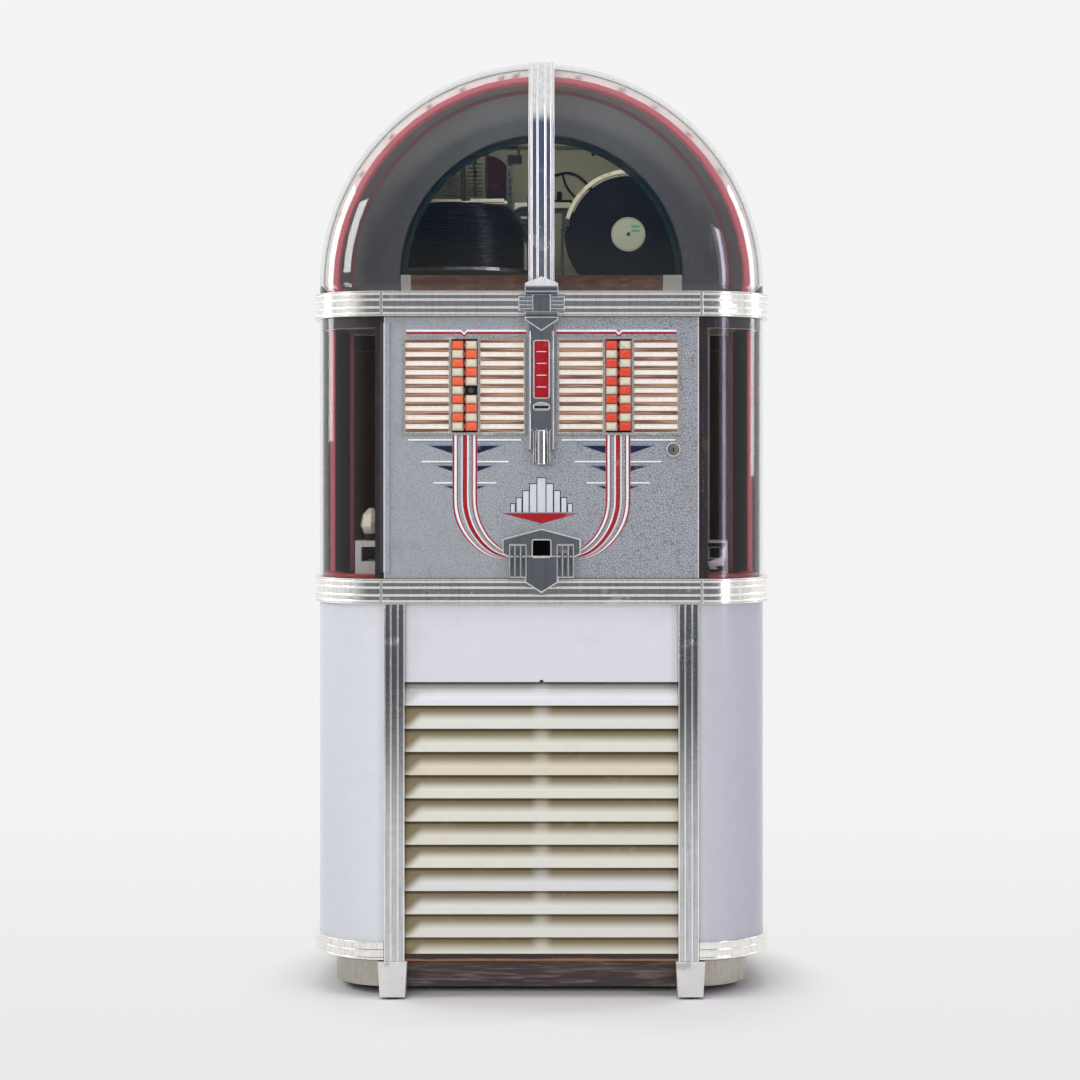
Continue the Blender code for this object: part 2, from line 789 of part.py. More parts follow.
def bottom_bands(material):
    low = FLOOR_BASE + BOTTOM_BAND_LIFT
    section = ribbed_section(low, low + BOTTOM_BAND_HEIGHT, GAP, FLUTE_PROUD, BAND_PROUD, BOTTOM_BAND_RIBS)
    curved_pair(section, PILASTER_OUTER + GAP, Y_REAR, 0, "bottom_band", material)


def beaded_band(low, back, y_end):
    """A ribbed band round the front and sides, with upright beads at the corners."""
    section = ribbed_section(low, low + BAND_HEIGHT, back, FLUTE_PROUD, BAND_PROUD, BAND_RIBS)
    band = swept(plan_path(0, y_end), section)
    beads = []
    for side in (-1, 1):
        x = side * (FLAT_HALF + BAND_BEAD)
        front = Y_FRONT - BAND_PROUD - BAND_BEAD_PROUD
        beads.append(
            block(
                (x - BAND_BEAD / 2, front, low),
                (x + BAND_BEAD / 2, Y_FRONT - FLUTE_PROUD + BITE, low + BAND_HEIGHT),
            )
        )
    return fused(band, *beads)


def lower_band(material):
    return finish(beaded_band(LOWER_BAND_BASE, GAP, Y_REAR), "lower_band", material)


def pilaster(side, material):
    inner = PILASTER_OUTER - PILASTER_WIDTH
    outline = fluted_outline(
        inner,
        PILASTER_OUTER,
        Y_FRONT - GAP,
        Y_FRONT - PILASTER_PROUD,
        PILASTER_FLUTE_DEPTH,
        PILASTER_RIBS,
        PILASTER_WIDTH * RIB_SHARE,
    )
    outline = [(side * x, y) for x, y in outline]
    name = "pilaster_left" if side < 0 else "pilaster_right"
    return finish(extruded([outline], FLOOR_BASE, LOWER_BAND_BASE - GAP, "Z"), name, material)


def upper_light_panel(material):
    half = PILASTER_OUTER - PILASTER_WIDTH - GAP
    front = Y_FRONT + LIGHT_PANEL_SINK
    base = LOWER_BAND_BASE - LIGHT_PANEL_HEIGHT
    panel = block((-half, front, base), (half, front + LIGHT_PANEL_THICKNESS, SHELF_BASE - GAP))
    notch = rod(
        (0, front - OVERRUN, base),
        (0, front + LIGHT_PANEL_THICKNESS + OVERRUN, base),
        NOTCH_RADIUS,
        SMALL_SIDES,
    )
    return finish(cut(panel, notch), "upper_light_panel", material)


def slat_outline(lip_z, top_z):
    """Side view of one curved slat: back at the top, forward at its lower lip."""
    height = top_z - lip_z
    outer = []
    for step in range(SLAT_POINTS + 1):
        angle = math.pi / 2 * step / SLAT_POINTS
        y = Y_FRONT + SLAT_DEPTH - (SLAT_DEPTH - SLAT_LIP_SINK) * math.sin(angle)
        outer.append((y, top_z - height * (1 - math.cos(angle))))
    inner = [(y + SLAT_THICKNESS, z) for y, z in reversed(outer)]
    return outer + inner


def louvre_grille(material):
    half = PILASTER_OUTER - PILASTER_WIDTH - GAP
    top = LOWER_BAND_BASE - LIGHT_PANEL_HEIGHT - GAP
    base = FLOOR_TOP + GAP
    stile_front = Y_FRONT + SLAT_DEPTH - STILE_DEPTH / 2
    stiles = [
        block((-half, stile_front, base), (STILE_WIDTH - half, stile_front + STILE_DEPTH, top)),
        block((half - STILE_WIDTH, stile_front, base), (half, stile_front + STILE_DEPTH, top)),
    ]
    slats = []
    lip = top - SLAT_PITCH
    rise = SLAT_PITCH
    for index in range(SLATS):
        slats.append(extruded([slat_outline(lip, lip + rise)], -half, half, "X"))
        rise = SLAT_PITCH + SLAT_OVERLAP
        lip -= SLAT_PITCH
    last_top = lip + rise
    slats.append(extruded([slat_outline(base, last_top)], -half, half, "X"))
    return finish(fused(slats[0], *slats[1:], *stiles), "louvre_grille", material)


def rear_cover(material):
    half = BODY_HALF - SIDE_THICKNESS - GAP
    y_low = Y_REAR - REAR_COVER_THICKNESS
    cover = block((-half, y_low, FLOOR_TOP + GAP), (half, Y_REAR, CABINET_TOP - REAR_RAIL_HEIGHT - GAP))
    vents = []
    for index in range(VENTS):
        z = VENT_BASE + index * VENT_PITCH
        vents.append(
            block(
                (-VENT_WIDTH / 2, y_low - OVERRUN, z),
                (VENT_WIDTH / 2, Y_REAR + OVERRUN, z + VENT_HEIGHT),
            )
        )
    return finish(cut(cover, *vents), "rear_cover", material)


def speaker(material):
    front = Y_FRONT + BAFFLE_SINK + BAFFLE_THICKNESS + GAP
    depth = SPEAKER_DEPTH
    profile = [
        (0, -MAGNET_DEPTH),
        (DUST_CAP_RADIUS, -MAGNET_DEPTH - SPEAKER_FLANGE),
        (CONE_RADIUS, 0),
        (SPEAKER_RADIUS, 0),
        (SPEAKER_RADIUS, -SPEAKER_FLANGE),
        (CONE_RADIUS, -2 * SPEAKER_FLANGE),
        (MAGNET_RADIUS, -(depth - MAGNET_DEPTH)),
        (MAGNET_RADIUS, -depth),
        (0, -depth),
    ]
    body = turned(profile, (0, front, SPEAKER_Z), "Y")
    return finish(body, "speaker", material)


def amplifier(material):
    rear = Y_REAR - AMP_REAR_CLEARANCE
    base = FLOOR_TOP + GAP
    top = base + AMP_HEIGHT
    chassis = block((-AMP_WIDTH / 2, rear - AMP_DEPTH, base), (AMP_WIDTH / 2, rear, top))
    shapes = []
    for index in range(TUBES):
        x = (index - (TUBES - 1) / 2) * TUBE_PITCH - TRANSFORMER_SIZE / 2
        y = rear - AMP_DEPTH / 3
        shapes.append(rod((x, y, top - BITE), (x, y, top + TUBE_HEIGHT), TUBE_RADIUS))
    x_low = AMP_WIDTH / 2 - TRANSFORMER_SIZE - TUBE_RADIUS
    y_low = rear - AMP_DEPTH / 2 - TRANSFORMER_SIZE / 2
    shapes.append(
        block(
            (x_low, y_low, top - BITE),
            (x_low + TRANSFORMER_SIZE, y_low + TRANSFORMER_SIZE, top + TRANSFORMER_SIZE),
        )
    )
    return finish(fused(chassis, *shapes), "amplifier", material)


# Record changer
def mechanism_bed(material):
    y_low = Y_FRONT + BED_FRONT + BED_BRACKET_DEPTH / 2
    y_high = y_low + BED_DEPTH
    plate = block((-BED_HALF, y_low, BED_BASE), (BED_HALF, y_high, BED_TOP))
    shapes = []
    windows = []
    for side in (-1, 1):
        x_low, x_high = sorted((side * (BED_HALF - BED_BRACKET_WIDTH), side * BED_HALF))
        y_front = Y_FRONT + BED_FRONT
        y_back = y_front + BED_BRACKET_DEPTH
        shapes.append(block((x_low, y_front, BED_BASE), (x_high, y_back, BED_BASE + BED_BRACKET_HEIGHT)))
        z_low = BED_TOP + (BED_BRACKET_HEIGHT - BED_THICKNESS - BRACKET_WINDOW) / 2
        x_mid = (x_low + x_high) / 2
        windows.append(
            block(
                (x_mid - BRACKET_WINDOW / 2, y_front - OVERRUN, z_low),
                (x_mid + BRACKET_WINDOW / 2, y_front + BED_BRACKET_DEPTH + OVERRUN, z_low + BRACKET_WINDOW),
            )
        )
    deck_front = PLATTER_Y - DECK_WALL_DEPTH / 2
    for x_low in (DECK_LEFT + DECK_SIDE, DECK_RIGHT - 2 * DECK_SIDE):
        shapes.append(
            block(
                (x_low, deck_front, BED_TOP - BITE),
                (x_low + DECK_SIDE, deck_front + DECK_WALL_DEPTH, DECK_TOP - DECK_THICKNESS + BITE),
            )
        )
    deck = block(
        (DECK_LEFT, deck_front, DECK_TOP - DECK_THICKNESS),
        (DECK_RIGHT, TONEARM_Y + DECK_SIDE, DECK_TOP),
    )
    post_top = TONEARM_Z - TONEARM_POST - GAP
    post = rod((TONEARM_X, TONEARM_Y, DECK_TOP - BITE), (TONEARM_X, TONEARM_Y, post_top), TONEARM_POST)
    ear = block(
        (DECK_LEFT, HELD_Y - BOW_DEPTH, DECK_TOP - BITE),
        (DECK_LEFT + PIVOT_TAIL - GAP, HELD_Y + BOW_DEPTH, PIVOT_Z + BOW_DEPTH),
    )
    shapes += [deck, post, ear]
    shaft_bore = rod(
        (PLATTER_X, PLATTER_Y, DECK_TOP - DECK_THICKNESS - OVERRUN),
        (PLATTER_X, PLATTER_Y, DECK_TOP + OVERRUN),
        SHAFT_RADIUS + GAP,
    )
    pivot_bore = rod(
        (DECK_LEFT - OVERRUN, HELD_Y, PIVOT_Z),
        (DECK_LEFT + PIVOT_TAIL + OVERRUN, HELD_Y, PIVOT_Z),
        PIVOT_RADIUS + GAP,
    )
    bed = fused(plate, *shapes)
    return finish(cut(bed, *windows, shaft_bore, pivot_bore), "mechanism_bed", material)


def drive_motor(material):
    y = Y_FRONT + MOTOR_DEPTH
    z = BED_TOP + MOTOR_LIFT
    body = rod((MOTOR_X, y, z), (MOTOR_X + MOTOR_LENGTH, y, z), MOTOR_RADIUS, SMALL_SIDES)
    shaft_end = MOTOR_X + MOTOR_LENGTH + MOTOR_SHAFT_LENGTH
    shaft = rod((MOTOR_X + MOTOR_LENGTH - BITE, y, z), (shaft_end, y, z), MOTOR_SHAFT_RADIUS, SMALL_SIDES)
    x_mid = MOTOR_X + MOTOR_LENGTH / 2
    foot = block(
        (x_mid - MOTOR_FOOT / 2, y - MOTOR_FOOT / 2, BED_TOP + GAP),
        (x_mid + MOTOR_FOOT / 2, y + MOTOR_FOOT / 2, z),
    )
    return finish(fused(body, shaft, foot), "drive_motor", material)


def magazine_rack(material):
    tray_top = STACK_BASE - GAP
    tray_base = tray_top - TRAY_THICKNESS
    tray = rod((STACK_X, STACK_Y, tray_base), (STACK_X, STACK_Y, tray_top), TRAY_RADIUS, FINE_SIDES)
    shapes = []
    for side in (-1, 1):
        x = STACK_X + side * RACK_POST_STANDOFF
        shapes.append(
            rod((x, STACK_Y, BED_TOP + GAP), (x, STACK_Y, STACK_TOP), RACK_POST_RADIUS, SMALL_SIDES)
        )
    tower_y = STACK_Y + RACK_POST_STANDOFF
    shapes.append(
        rod((STACK_X, tower_y, BED_TOP + GAP), (STACK_X, tower_y, TOWER_TOP), RACK_POST_RADIUS, SMALL_SIDES)
    )
    half_depth = RACK_POST_RADIUS / 2
    for level in (tray_base, TOWER_TOP - COMB_TIE_HEIGHT):
        shapes.append(
            block(
                (STACK_X - TOWER_SPACING / 2, tower_y - half_depth, level),
                (STACK_X + TOWER_SPACING / 2, tower_y + half_depth, level + COMB_TIE_HEIGHT),
            )
        )
    for side in (-1, 1):
        x_mid = STACK_X + side * TOWER_SPACING / 2
        shapes.append(
            block(
                (x_mid - COMB_BAR / 2, tower_y - half_depth + BITE, tray_base),
                (x_mid + COMB_BAR / 2, tower_y + half_depth + BITE, TOWER_TOP),
            )
        )
        for index in range(TINES):
            z = STACK_TOP + GAP + (index + 1) * TINE_PITCH
            shapes.append(
                block(
                    (x_mid - TINE_LENGTH / 2, tower_y - half_depth, z),
                    (x_mid + TINE_LENGTH / 2, tower_y + half_depth, z + TINE_THICKNESS),
                )
            )
    return finish(fused(tray, *shapes), "magazine_rack", material)


def record_stack(material):
    """Records lying one over another, touching at their thick labels."""
    profile = [(0, (STACK_RECORDS - 1) * STACK_PITCH + RECORD_THICKNESS)]
    for index in reversed(range(STACK_RECORDS)):
        low = index * STACK_PITCH
        if index < STACK_RECORDS - 1:
            profile.append((LABEL_RADIUS, low + RECORD_THICKNESS))
        profile += [(RECORD_RADIUS, low + RECORD_THICKNESS), (RECORD_RADIUS, low)]
        if index > 0:
            profile.append((LABEL_RADIUS, low))
    profile.append((0, 0))
    body = turned(profile, (STACK_X, STACK_Y, STACK_BASE), sides=STACK_SIDES)
    return finish(body, "record_stack", material)


def held_record(material):
    centre = (HELD_X, HELD_Y, HELD_Z)
    half = RECORD_THICKNESS / 2
    disc = rod(
        (HELD_X, HELD_Y - half, HELD_Z),
        (HELD_X, HELD_Y + half, HELD_Z),
        RECORD_RADIUS,
        2 * ROUND_SIDES,
    )
    front = HELD_Y - half - OVERRUN
    back = HELD_Y + half + OVERRUN
    hole = rod((HELD_X, front, HELD_Z), (HELD_X, back, HELD_Z), RECORD_HOLE, SMALL_SIDES)
    return finish(cut(disc, hole), "held_record", material, centre)


def gripper_bow(material):
    """Curved arm over the held record, on a cross shaft below the record's edge."""
    half_step = math.radians((180 - BOW_START) / BOW_STEPS / 2)
    inner = (RECORD_RADIUS + GAP) / math.cos(half_step)
    outer = inner + BOW_WIDTH
    centre = (HELD_X, HELD_Z)
    ring = arc(centre, inner, BOW_START, 180, BOW_STEPS) + arc(centre, outer, 180, BOW_START, BOW_STEPS)
    half = BOW_DEPTH / 2
    bow = extruded([ring], HELD_Y - half, HELD_Y + half, "Y")
    arm_right = HELD_X - inner
    arm_left = arm_right - BOW_WIDTH
    arm = block((arm_left, HELD_Y - half, PIVOT_Z - half), (arm_right, HELD_Y + half, HELD_Z + BITE))
    hinge_block = block(
        (arm_left - BITE, HELD_Y - half - BITE, HELD_Z - BOW_BLOCK / 3),
        (arm_right - BITE, HELD_Y + half + BITE, HELD_Z + BOW_BLOCK * 2 / 3),
    )
    shaft = rod(
        (DECK_LEFT - BITE, HELD_Y, PIVOT_Z),
        (arm_left + BITE, HELD_Y, PIVOT_Z),
        PIVOT_RADIUS,
        ROUND_SIDES,
    )
    return finish(fused(bow, arm, hinge_block, shaft), "gripper_bow", material, (arm_left, HELD_Y, PIVOT_Z))


def turntable(material):
    base = PLATTER_TOP - PLATTER_THICKNESS
    profile = [
        (0, PLATTER_TOP + SPINDLE_RISE),
        (SPINDLE_RADIUS / 2, PLATTER_TOP + SPINDLE_RISE),
        (SPINDLE_RADIUS, PLATTER_TOP + SPINDLE_RISE / 2),
        (SPINDLE_RADIUS, PLATTER_TOP),
        (PLATTER_RADIUS, PLATTER_TOP),
        (PLATTER_RADIUS, base),
        (2 * SHAFT_RADIUS, base),
        (2 * SHAFT_RADIUS, DECK_TOP + GAP),
        (SHAFT_RADIUS, DECK_TOP + GAP),
        (SHAFT_RADIUS, DECK_TOP - SHAFT_TAIL),
        (0, DECK_TOP - SHAFT_TAIL),
    ]
    centre = (PLATTER_X, PLATTER_Y, 0)
    return finish(turned(profile, centre), "turntable", material, (PLATTER_X, PLATTER_Y, DECK_TOP))


def tonearm(material):
    pivot = (TONEARM_X, TONEARM_Y, TONEARM_Z)
    hub = rod(
        (TONEARM_X, TONEARM_Y, TONEARM_Z - TONEARM_POST),
        (TONEARM_X, TONEARM_Y, TONEARM_Z + TONEARM_RADIUS),
        TONEARM_POST,
    )
    tip_y = TONEARM_Y - TONEARM_LENGTH
    tube = rod(
        (TONEARM_X, TONEARM_Y, TONEARM_Z),
        (TONEARM_X, tip_y, TONEARM_Z),
        TONEARM_RADIUS,
        SMALL_SIDES,
    )
    half = TONEARM_HEAD / 2
    head = block(
        (TONEARM_X - half, tip_y - TONEARM_HEAD_LENGTH / 2, PIVOT_Z + RECORD_THICKNESS),
        (TONEARM_X + half, tip_y + TONEARM_HEAD_LENGTH / 2, TONEARM_Z + TONEARM_RADIUS + BITE),
    )
    return finish(fused(hub, tube, head), "tonearm", material, pivot)


# Lid
def lid_hood(material):
    """Arched rear shell of the lid, with a rim at its front that carries the arch panel."""
    outer = arch_outline(BODY_HALF, ARCH_BASE)
    inner_radius = BODY_HALF - HOOD_THICKNESS
    shell = extruded([outer], HOOD_FRONT, Y_REAR, "Y")
    room = extruded(
        [arch_outline(inner_radius, ARCH_BASE - OVERRUN)],
        HOOD_FRONT + HOOD_RIM_DEPTH,
        Y_REAR - HOOD_THICKNESS,
        "Y",
    )
    mouth = extruded(
        [arch_outline(BODY_HALF - HOOD_RIM, ARCH_BASE - OVERRUN)],
        HOOD_FRONT - OVERRUN,
        HOOD_FRONT + HOOD_RIM_DEPTH + BITE,
        "Y",
    )
    hood = cut(shell, room, mouth)
    rear_wall = block(
        (-BODY_HALF, Y_REAR - HOOD_THICKNESS, LID_BASE + GAP),
        (BODY_HALF, Y_REAR, ARCH_BASE + HOOD_THICKNESS),
    )
    hood = fused(hood, rear_wall, *hinge_knuckles(range(0, KNUCKLES, 2), below=False))
    return finish(hood, "lid_hood", material)


def lid_band(material):
    return finish(
        beaded_band(LID_BASE, -LID_FRAME_DEPTH, Y_REAR - HOOD_THICKNESS - GAP), "lid_band", material
    )


def clear_dome(material):
    """Half of the clear cover: flat front, rounded nose, spun round the arch centre."""
    nose = arc((FLAT_HALF, Y_CORNER), CORNER_RADIUS, -90, 0, NOSE_STEPS)
    section = [(0, Y_FRONT)] + nose + [(BODY_HALF, Y_CORNER + DOME_LIP)]
    bm = bmesh.new()
    verts = [bm.verts.new((x, y, ARCH_BASE)) for x, y in section]
    edges = [bm.edges.new(pair) for pair in zip(verts, verts[1:])]
    leg = bmesh.ops.extrude_edge_only(bm, edges=edges)["geom"]
    leg_verts = [item for item in leg if isinstance(item, bmesh.types.BMVert)]
    bmesh.ops.translate(bm, vec=(0, 0, ARCH_Z - ARCH_BASE), verts=leg_verts)
    leg_edges = [edge for edge in bm.edges if all(vert in leg_verts for vert in edge.verts)]
    bmesh.ops.spin(
        bm,
        geom=leg_verts + leg_edges,
        cent=(0, 0, ARCH_Z),
        axis=(0, -1, 0),
        angle=math.pi / 2,
        steps=DOME_STEPS,
    )
    bmesh.ops.remove_doubles(bm, verts=bm.verts, dist=WELD)
    everything = bm.verts[:] + bm.edges[:] + bm.faces[:]
    bmesh.ops.bisect_plane(
        bm, geom=everything, plane_co=(GAP, 0, 0), plane_no=(-1, 0, 0), clear_outer=True
    )
    bmesh.ops.recalc_face_normals(bm, faces=bm.faces)
    shell = guide_from_bmesh(bm)
    outward = shell.data.polygons[0].normal.y < 0
    solidify = shell.modifiers.new("wall", "SOLIDIFY")
    solidify.thickness = DOME_THICKNESS
    solidify.offset = -1 if outward else 1
    solidify.use_even_offset = True
    left = mirrored(shell)
    finish(left, "dome_left", material)
    finish(shell, "dome_right", material)


def center_strip(material):
    """Ribbed strip over the dome's joint, with the crown casting at its foot."""
    skin = CORNER_RADIUS + GAP
    nose = arc((Y_CORNER, ARCH_Z + FLAT_HALF), skin, 180, 90, 2 * NOSE_STEPS)
    path = [(Y_CORNER - skin, ARCH_BASE)] + nose + [(Y_CORNER + STRIP_REST, ARCH_Z + BODY_HALF + GAP)]
    path.reverse()
    half = STRIP_WIDTH / 2
    section = ribbed_section(
        -half, half, 0, STRIP_THICKNESS - STRIP_FLUTE_DEPTH, STRIP_THICKNESS, BAND_RIBS
    )
    strip = swept(path, section, "X")
    back = Y_FRONT - BAND_PROUD - GAP
    crown_front = Y_FRONT - CROWN_PROUD
    foot = LID_BASE + CROWN_FOOT
    outline = [
        (-CROWN_HALF, foot),
        (CROWN_HALF, foot),
        (CROWN_HALF, LID_BAND_TOP + CROWN_SHOULDER_RISE),
        (0, LID_BAND_TOP + CROWN_PEAK_RISE),
        (-CROWN_HALF, LID_BAND_TOP + CROWN_SHOULDER_RISE),
    ]
    crown = extruded([outline], crown_front, back, "Y")
    root = block(
        (-half, back - BITE, ARCH_BASE + GAP),
        (half, Y_FRONT - GAP - BITE, LID_BAND_TOP + CROWN_SHOULDER_RISE),
    )
    shapes = [crown, root]
    rib_height = WING_HEIGHT / (2 * WING_RIBS - 1)
    for index in range(WING_RIBS):
        z = LID_BASE + WING_LOW + 2 * index * rib_height
        shapes.append(block((-WING_HALF, Y_FRONT - WING_PROUD, z), (WING_HALF, back, z + rib_height)))
    wing_low = LID_BASE + WING_LOW
    shapes.append(
        block(
            (-WING_HALF, (Y_FRONT - WING_PROUD + back) / 2, wing_low),
            (WING_HALF, back, wing_low + WING_HEIGHT),
        )
    )
    return finish(fused(strip, *shapes), "center_strip", material)


def arch_panel(material):
    """Dark panel round the view of the changer, with a sign bar across its foot."""
    outer = arch_outline(BODY_HALF - RED_STRIP_INSET - RED_STRIP_WIDTH - GAP, ARCH_BASE)
    centre_z = ARCH_Z + PANEL_OPENING_RISE
    opening = arc((0, centre_z), PANEL_OPENING_RADIUS, 0, 180, ARCH_STEPS)
    bar_top = ARCH_BASE + SIGN_BASE + SIGN_HEIGHT
    opening = [(PANEL_OPENING_RADIUS, bar_top)] + opening + [(-PANEL_OPENING_RADIUS, bar_top)]
    back = HOOD_FRONT - GAP
    return finish(extruded([outer, opening], back - PANEL_THICKNESS, back, "Y"), "arch_panel", material)


def arch_light_strip(material):
    """Red light strip along the dome's inner edge, in two steps."""
    radius = BODY_HALF - RED_STRIP_INSET
    back = HOOD_FRONT - GAP
    section = [
        (0, -back),
        (0, RED_STRIP_DEPTH - back),
        (-RED_STRIP_WIDTH / 2, RED_STRIP_DEPTH - back),
        (-RED_STRIP_WIDTH / 2, RED_STRIP_DEPTH - RED_STRIP_STEP - back),
        (-RED_STRIP_WIDTH, RED_STRIP_DEPTH - RED_STRIP_STEP - back),
        (-RED_STRIP_WIDTH, -back),
    ]
    return finish(swept(arch_outline(radius, ARCH_BASE), section, "Y"), "arch_light_strip", material)


# Door
def rack_low_high(side):
    return (
        (side * GROUP_X - RACK_WIDTH / 2, RACK_CENTRE_Z - RACK_HEIGHT / 2),
        (side * GROUP_X + RACK_WIDTH / 2, RACK_CENTRE_Z + RACK_HEIGHT / 2),
    )


def door_panel(material):
    y_low = Y_FRONT
    y_high = Y_FRONT + DOOR_THICKNESS
    panel = block((-DOOR_HALF, y_low, DOOR_BASE), (DOOR_HALF, y_high, DOOR_TOP))
    cutters = []
    for side in (-1, 1):
        low, high = rack_low_high(side)
        cutters.append(
            block(
                (low[0] - GAP, y_low - OVERRUN, low[1] - GAP),
                (high[0] + GAP, y_high + OVERRUN, high[1] + GAP),
            )
        )
    slot_z = DOOR_TOP - SLOT_DROP
    cutters.append(
        block(
            (-SLOT_WIDTH / 2, y_low - OVERRUN, slot_z - SLOT_HEIGHT / 2),
            (SLOT_WIDTH / 2, y_high + OVERRUN, slot_z + SLOT_HEIGHT / 2),
        )
    )
    cutters.append(
        rod((LOCK_X, y_low - OVERRUN, LOCK_Z), (LOCK_X, y_high + OVERRUN, LOCK_Z), LOCK_BARREL + GAP)
    )
    pocket_x = CUP_HOLE_WIDTH / 2 + CUP_WALL + GAP
    pocket_z = CUP_HOLE_HEIGHT / 2 + CUP_WALL + GAP
    cutters.append(
        block(
            (-pocket_x, y_low - OVERRUN, CUP_HOLE_Z - pocket_z),
            (pocket_x, y_high + OVERRUN, CUP_HOLE_Z + pocket_z),
        )
    )
    barrel = rod(
        (DOOR_HINGE_X, DOOR_HINGE_Y, DOOR_BASE + HINGE_LEAF),
        (DOOR_HINGE_X, DOOR_HINGE_Y, DOOR_TOP - HINGE_LEAF),
        HINGE_RADIUS,
        SMALL_SIDES,
    )
    leaf_y = DOOR_HINGE_Y - HINGE_LEAF_THICKNESS / 2
    leaf = block(
        (DOOR_HINGE_X, leaf_y, DOOR_BASE + HINGE_LEAF),
        (-DOOR_HALF + HINGE_LEAF, Y_FRONT + BITE, DOOR_TOP - HINGE_LEAF),
    )
    hinge_room = block(
        (DOOR_HINGE_X - OVERRUN, Y_FRONT - GAP, DOOR_BASE),
        (-DOOR_HALF, Y_FRONT + OVERRUN, DOOR_TOP),
    )
    leaf = cut(leaf, hinge_room)
    panel = fused(cut(panel, *cutters), barrel, leaf)
    return finish(panel, "door_panel", material, (DOOR_HINGE_X, DOOR_HINGE_Y, DOOR_BASE))


def title_rack(side, material):
    """Frame with two columns of title holders and a key channel between them."""
    low, high = rack_low_high(side)
    centre_x = side * GROUP_X
    channel = KEY_CHANNEL_WIDTH / 2
    holes = [
        rectangle((centre_x - channel, low[1] + RACK_BORDER), (centre_x + channel, high[1] - RACK_BORDER))
    ]
    window_low = low[1] + RACK_BORDER
    window_high = high[1] - RACK_BORDER
    spans = [
        (low[0] + RACK_BORDER, centre_x - channel - RACK_BORDER),
        (centre_x + channel + RACK_BORDER, high[0] - RACK_BORDER),
    ]
    for x_low, x_high in spans:
        holes.append(rectangle((x_low, window_low), (x_high, window_high)))
    front = Y_FRONT - RACK_PROUD
    back = Y_FRONT + RACK_DEPTH - STEM_PLATE
    frame = extruded([rectangle(low, high)] + holes, front, back, "Y")
    shapes = []
    floor_front = Y_FRONT + RACK_FLOOR_SINK
    for x_low, x_high in spans:
        shapes.append(
            block(
                (x_low - BITE, floor_front, window_low - BITE),
                (x_high + BITE, floor_front + RACK_FLOOR_THICKNESS, window_high + BITE),
            )
        )
        for row in range(ROWS - 1):
            z = RACK_CENTRE_Z + (row - (ROWS - 2) / 2) * ROW_PITCH
            shapes.append(
                block(
                    (x_low - BITE, Y_FRONT, z - DIVIDER_HEIGHT / 2),
                    (x_high + BITE, floor_front + BITE, z + DIVIDER_HEIGHT / 2),
                )
            )
    stem_hole = KEY_STEM / 2 + GAP
    stem_holes = []
    for row in range(ROWS):
        z = row_height(row)
        stem_holes.append(
            rectangle((centre_x - stem_hole, z - stem_hole), (centre_x + stem_hole, z + stem_hole))
        )
    plate_half = channel + RACK_BORDER
    plate_outline = rectangle((centre_x - plate_half, low[1]), (centre_x + plate_half, high[1]))
    plate = extruded([plate_outline] + stem_holes, back - BITE, back + STEM_PLATE, "Y")
    shapes.append(plate)
    name = "title_rack_left" if side < 0 else "title_rack_right"
    return finish(fused(frame, *shapes), name, material)


def row_height(row):
    return RACK_CENTRE_Z + ((ROWS - 1) / 2 - row) * ROW_PITCH


def key_cap(x, z):
    """A cap with a narrower face than base, like a moulded key."""
    front = Y_FRONT - KEY_PROUD
    back = Y_FRONT + KEY_BODY
    bm = bmesh.new()
    bmesh.ops.create_cube(bm, size=1)
    bmesh.ops.scale(bm, vec=(KEY_WIDTH, back - front, KEY_HEIGHT), verts=bm.verts)
    face = [vert for vert in bm.verts if vert.co.y < 0]
    bmesh.ops.scale(bm, vec=(KEY_CROWN_SHARE, 1, KEY_CROWN_SHARE), verts=face)
    return guide_from_bmesh(bm, (x, (front + back) / 2, z))


def selection_key(side, row, material):
    """One row of a key group: its two caps on one cross bar and stem."""
    centre_x = side * GROUP_X
    z = row_height(row)
    bar_front = Y_FRONT + KEY_BODY - BITE
    bar_back = Y_FRONT + KEY_BODY + KEY_BAR_DEPTH
    half = KEY_PITCH / 2
    bar = block(
        (centre_x - half, bar_front, z - KEY_BAR_HEIGHT / 2),
        (centre_x + half, bar_back, z + KEY_BAR_HEIGHT / 2),
    )
    stem_back = Y_FRONT + RACK_DEPTH + KEY_TRAVEL
    stem_half = KEY_STEM / 2
    stem = block(
        (centre_x - stem_half, bar_back - BITE, z - stem_half),
        (centre_x + stem_half, stem_back, z + stem_half),
    )
    shapes = [stem, key_cap(centre_x - half, z)]
    if side < 0 and row == MISSING_CAP_ROW:
        x = centre_x + half
        shapes.append(rod((x, Y_FRONT, z), (x, bar_front + BITE, z), PLUNGER_RADIUS, SMALL_SIDES))
    else:
        shapes.append(key_cap(centre_x + half, z))
    side_name = "left" if side < 0 else "right"
    name = f"key_{side_name}_{row + 1:02d}"
    return finish(fused(bar, *shapes), name, material, (centre_x, Y_FRONT, z))


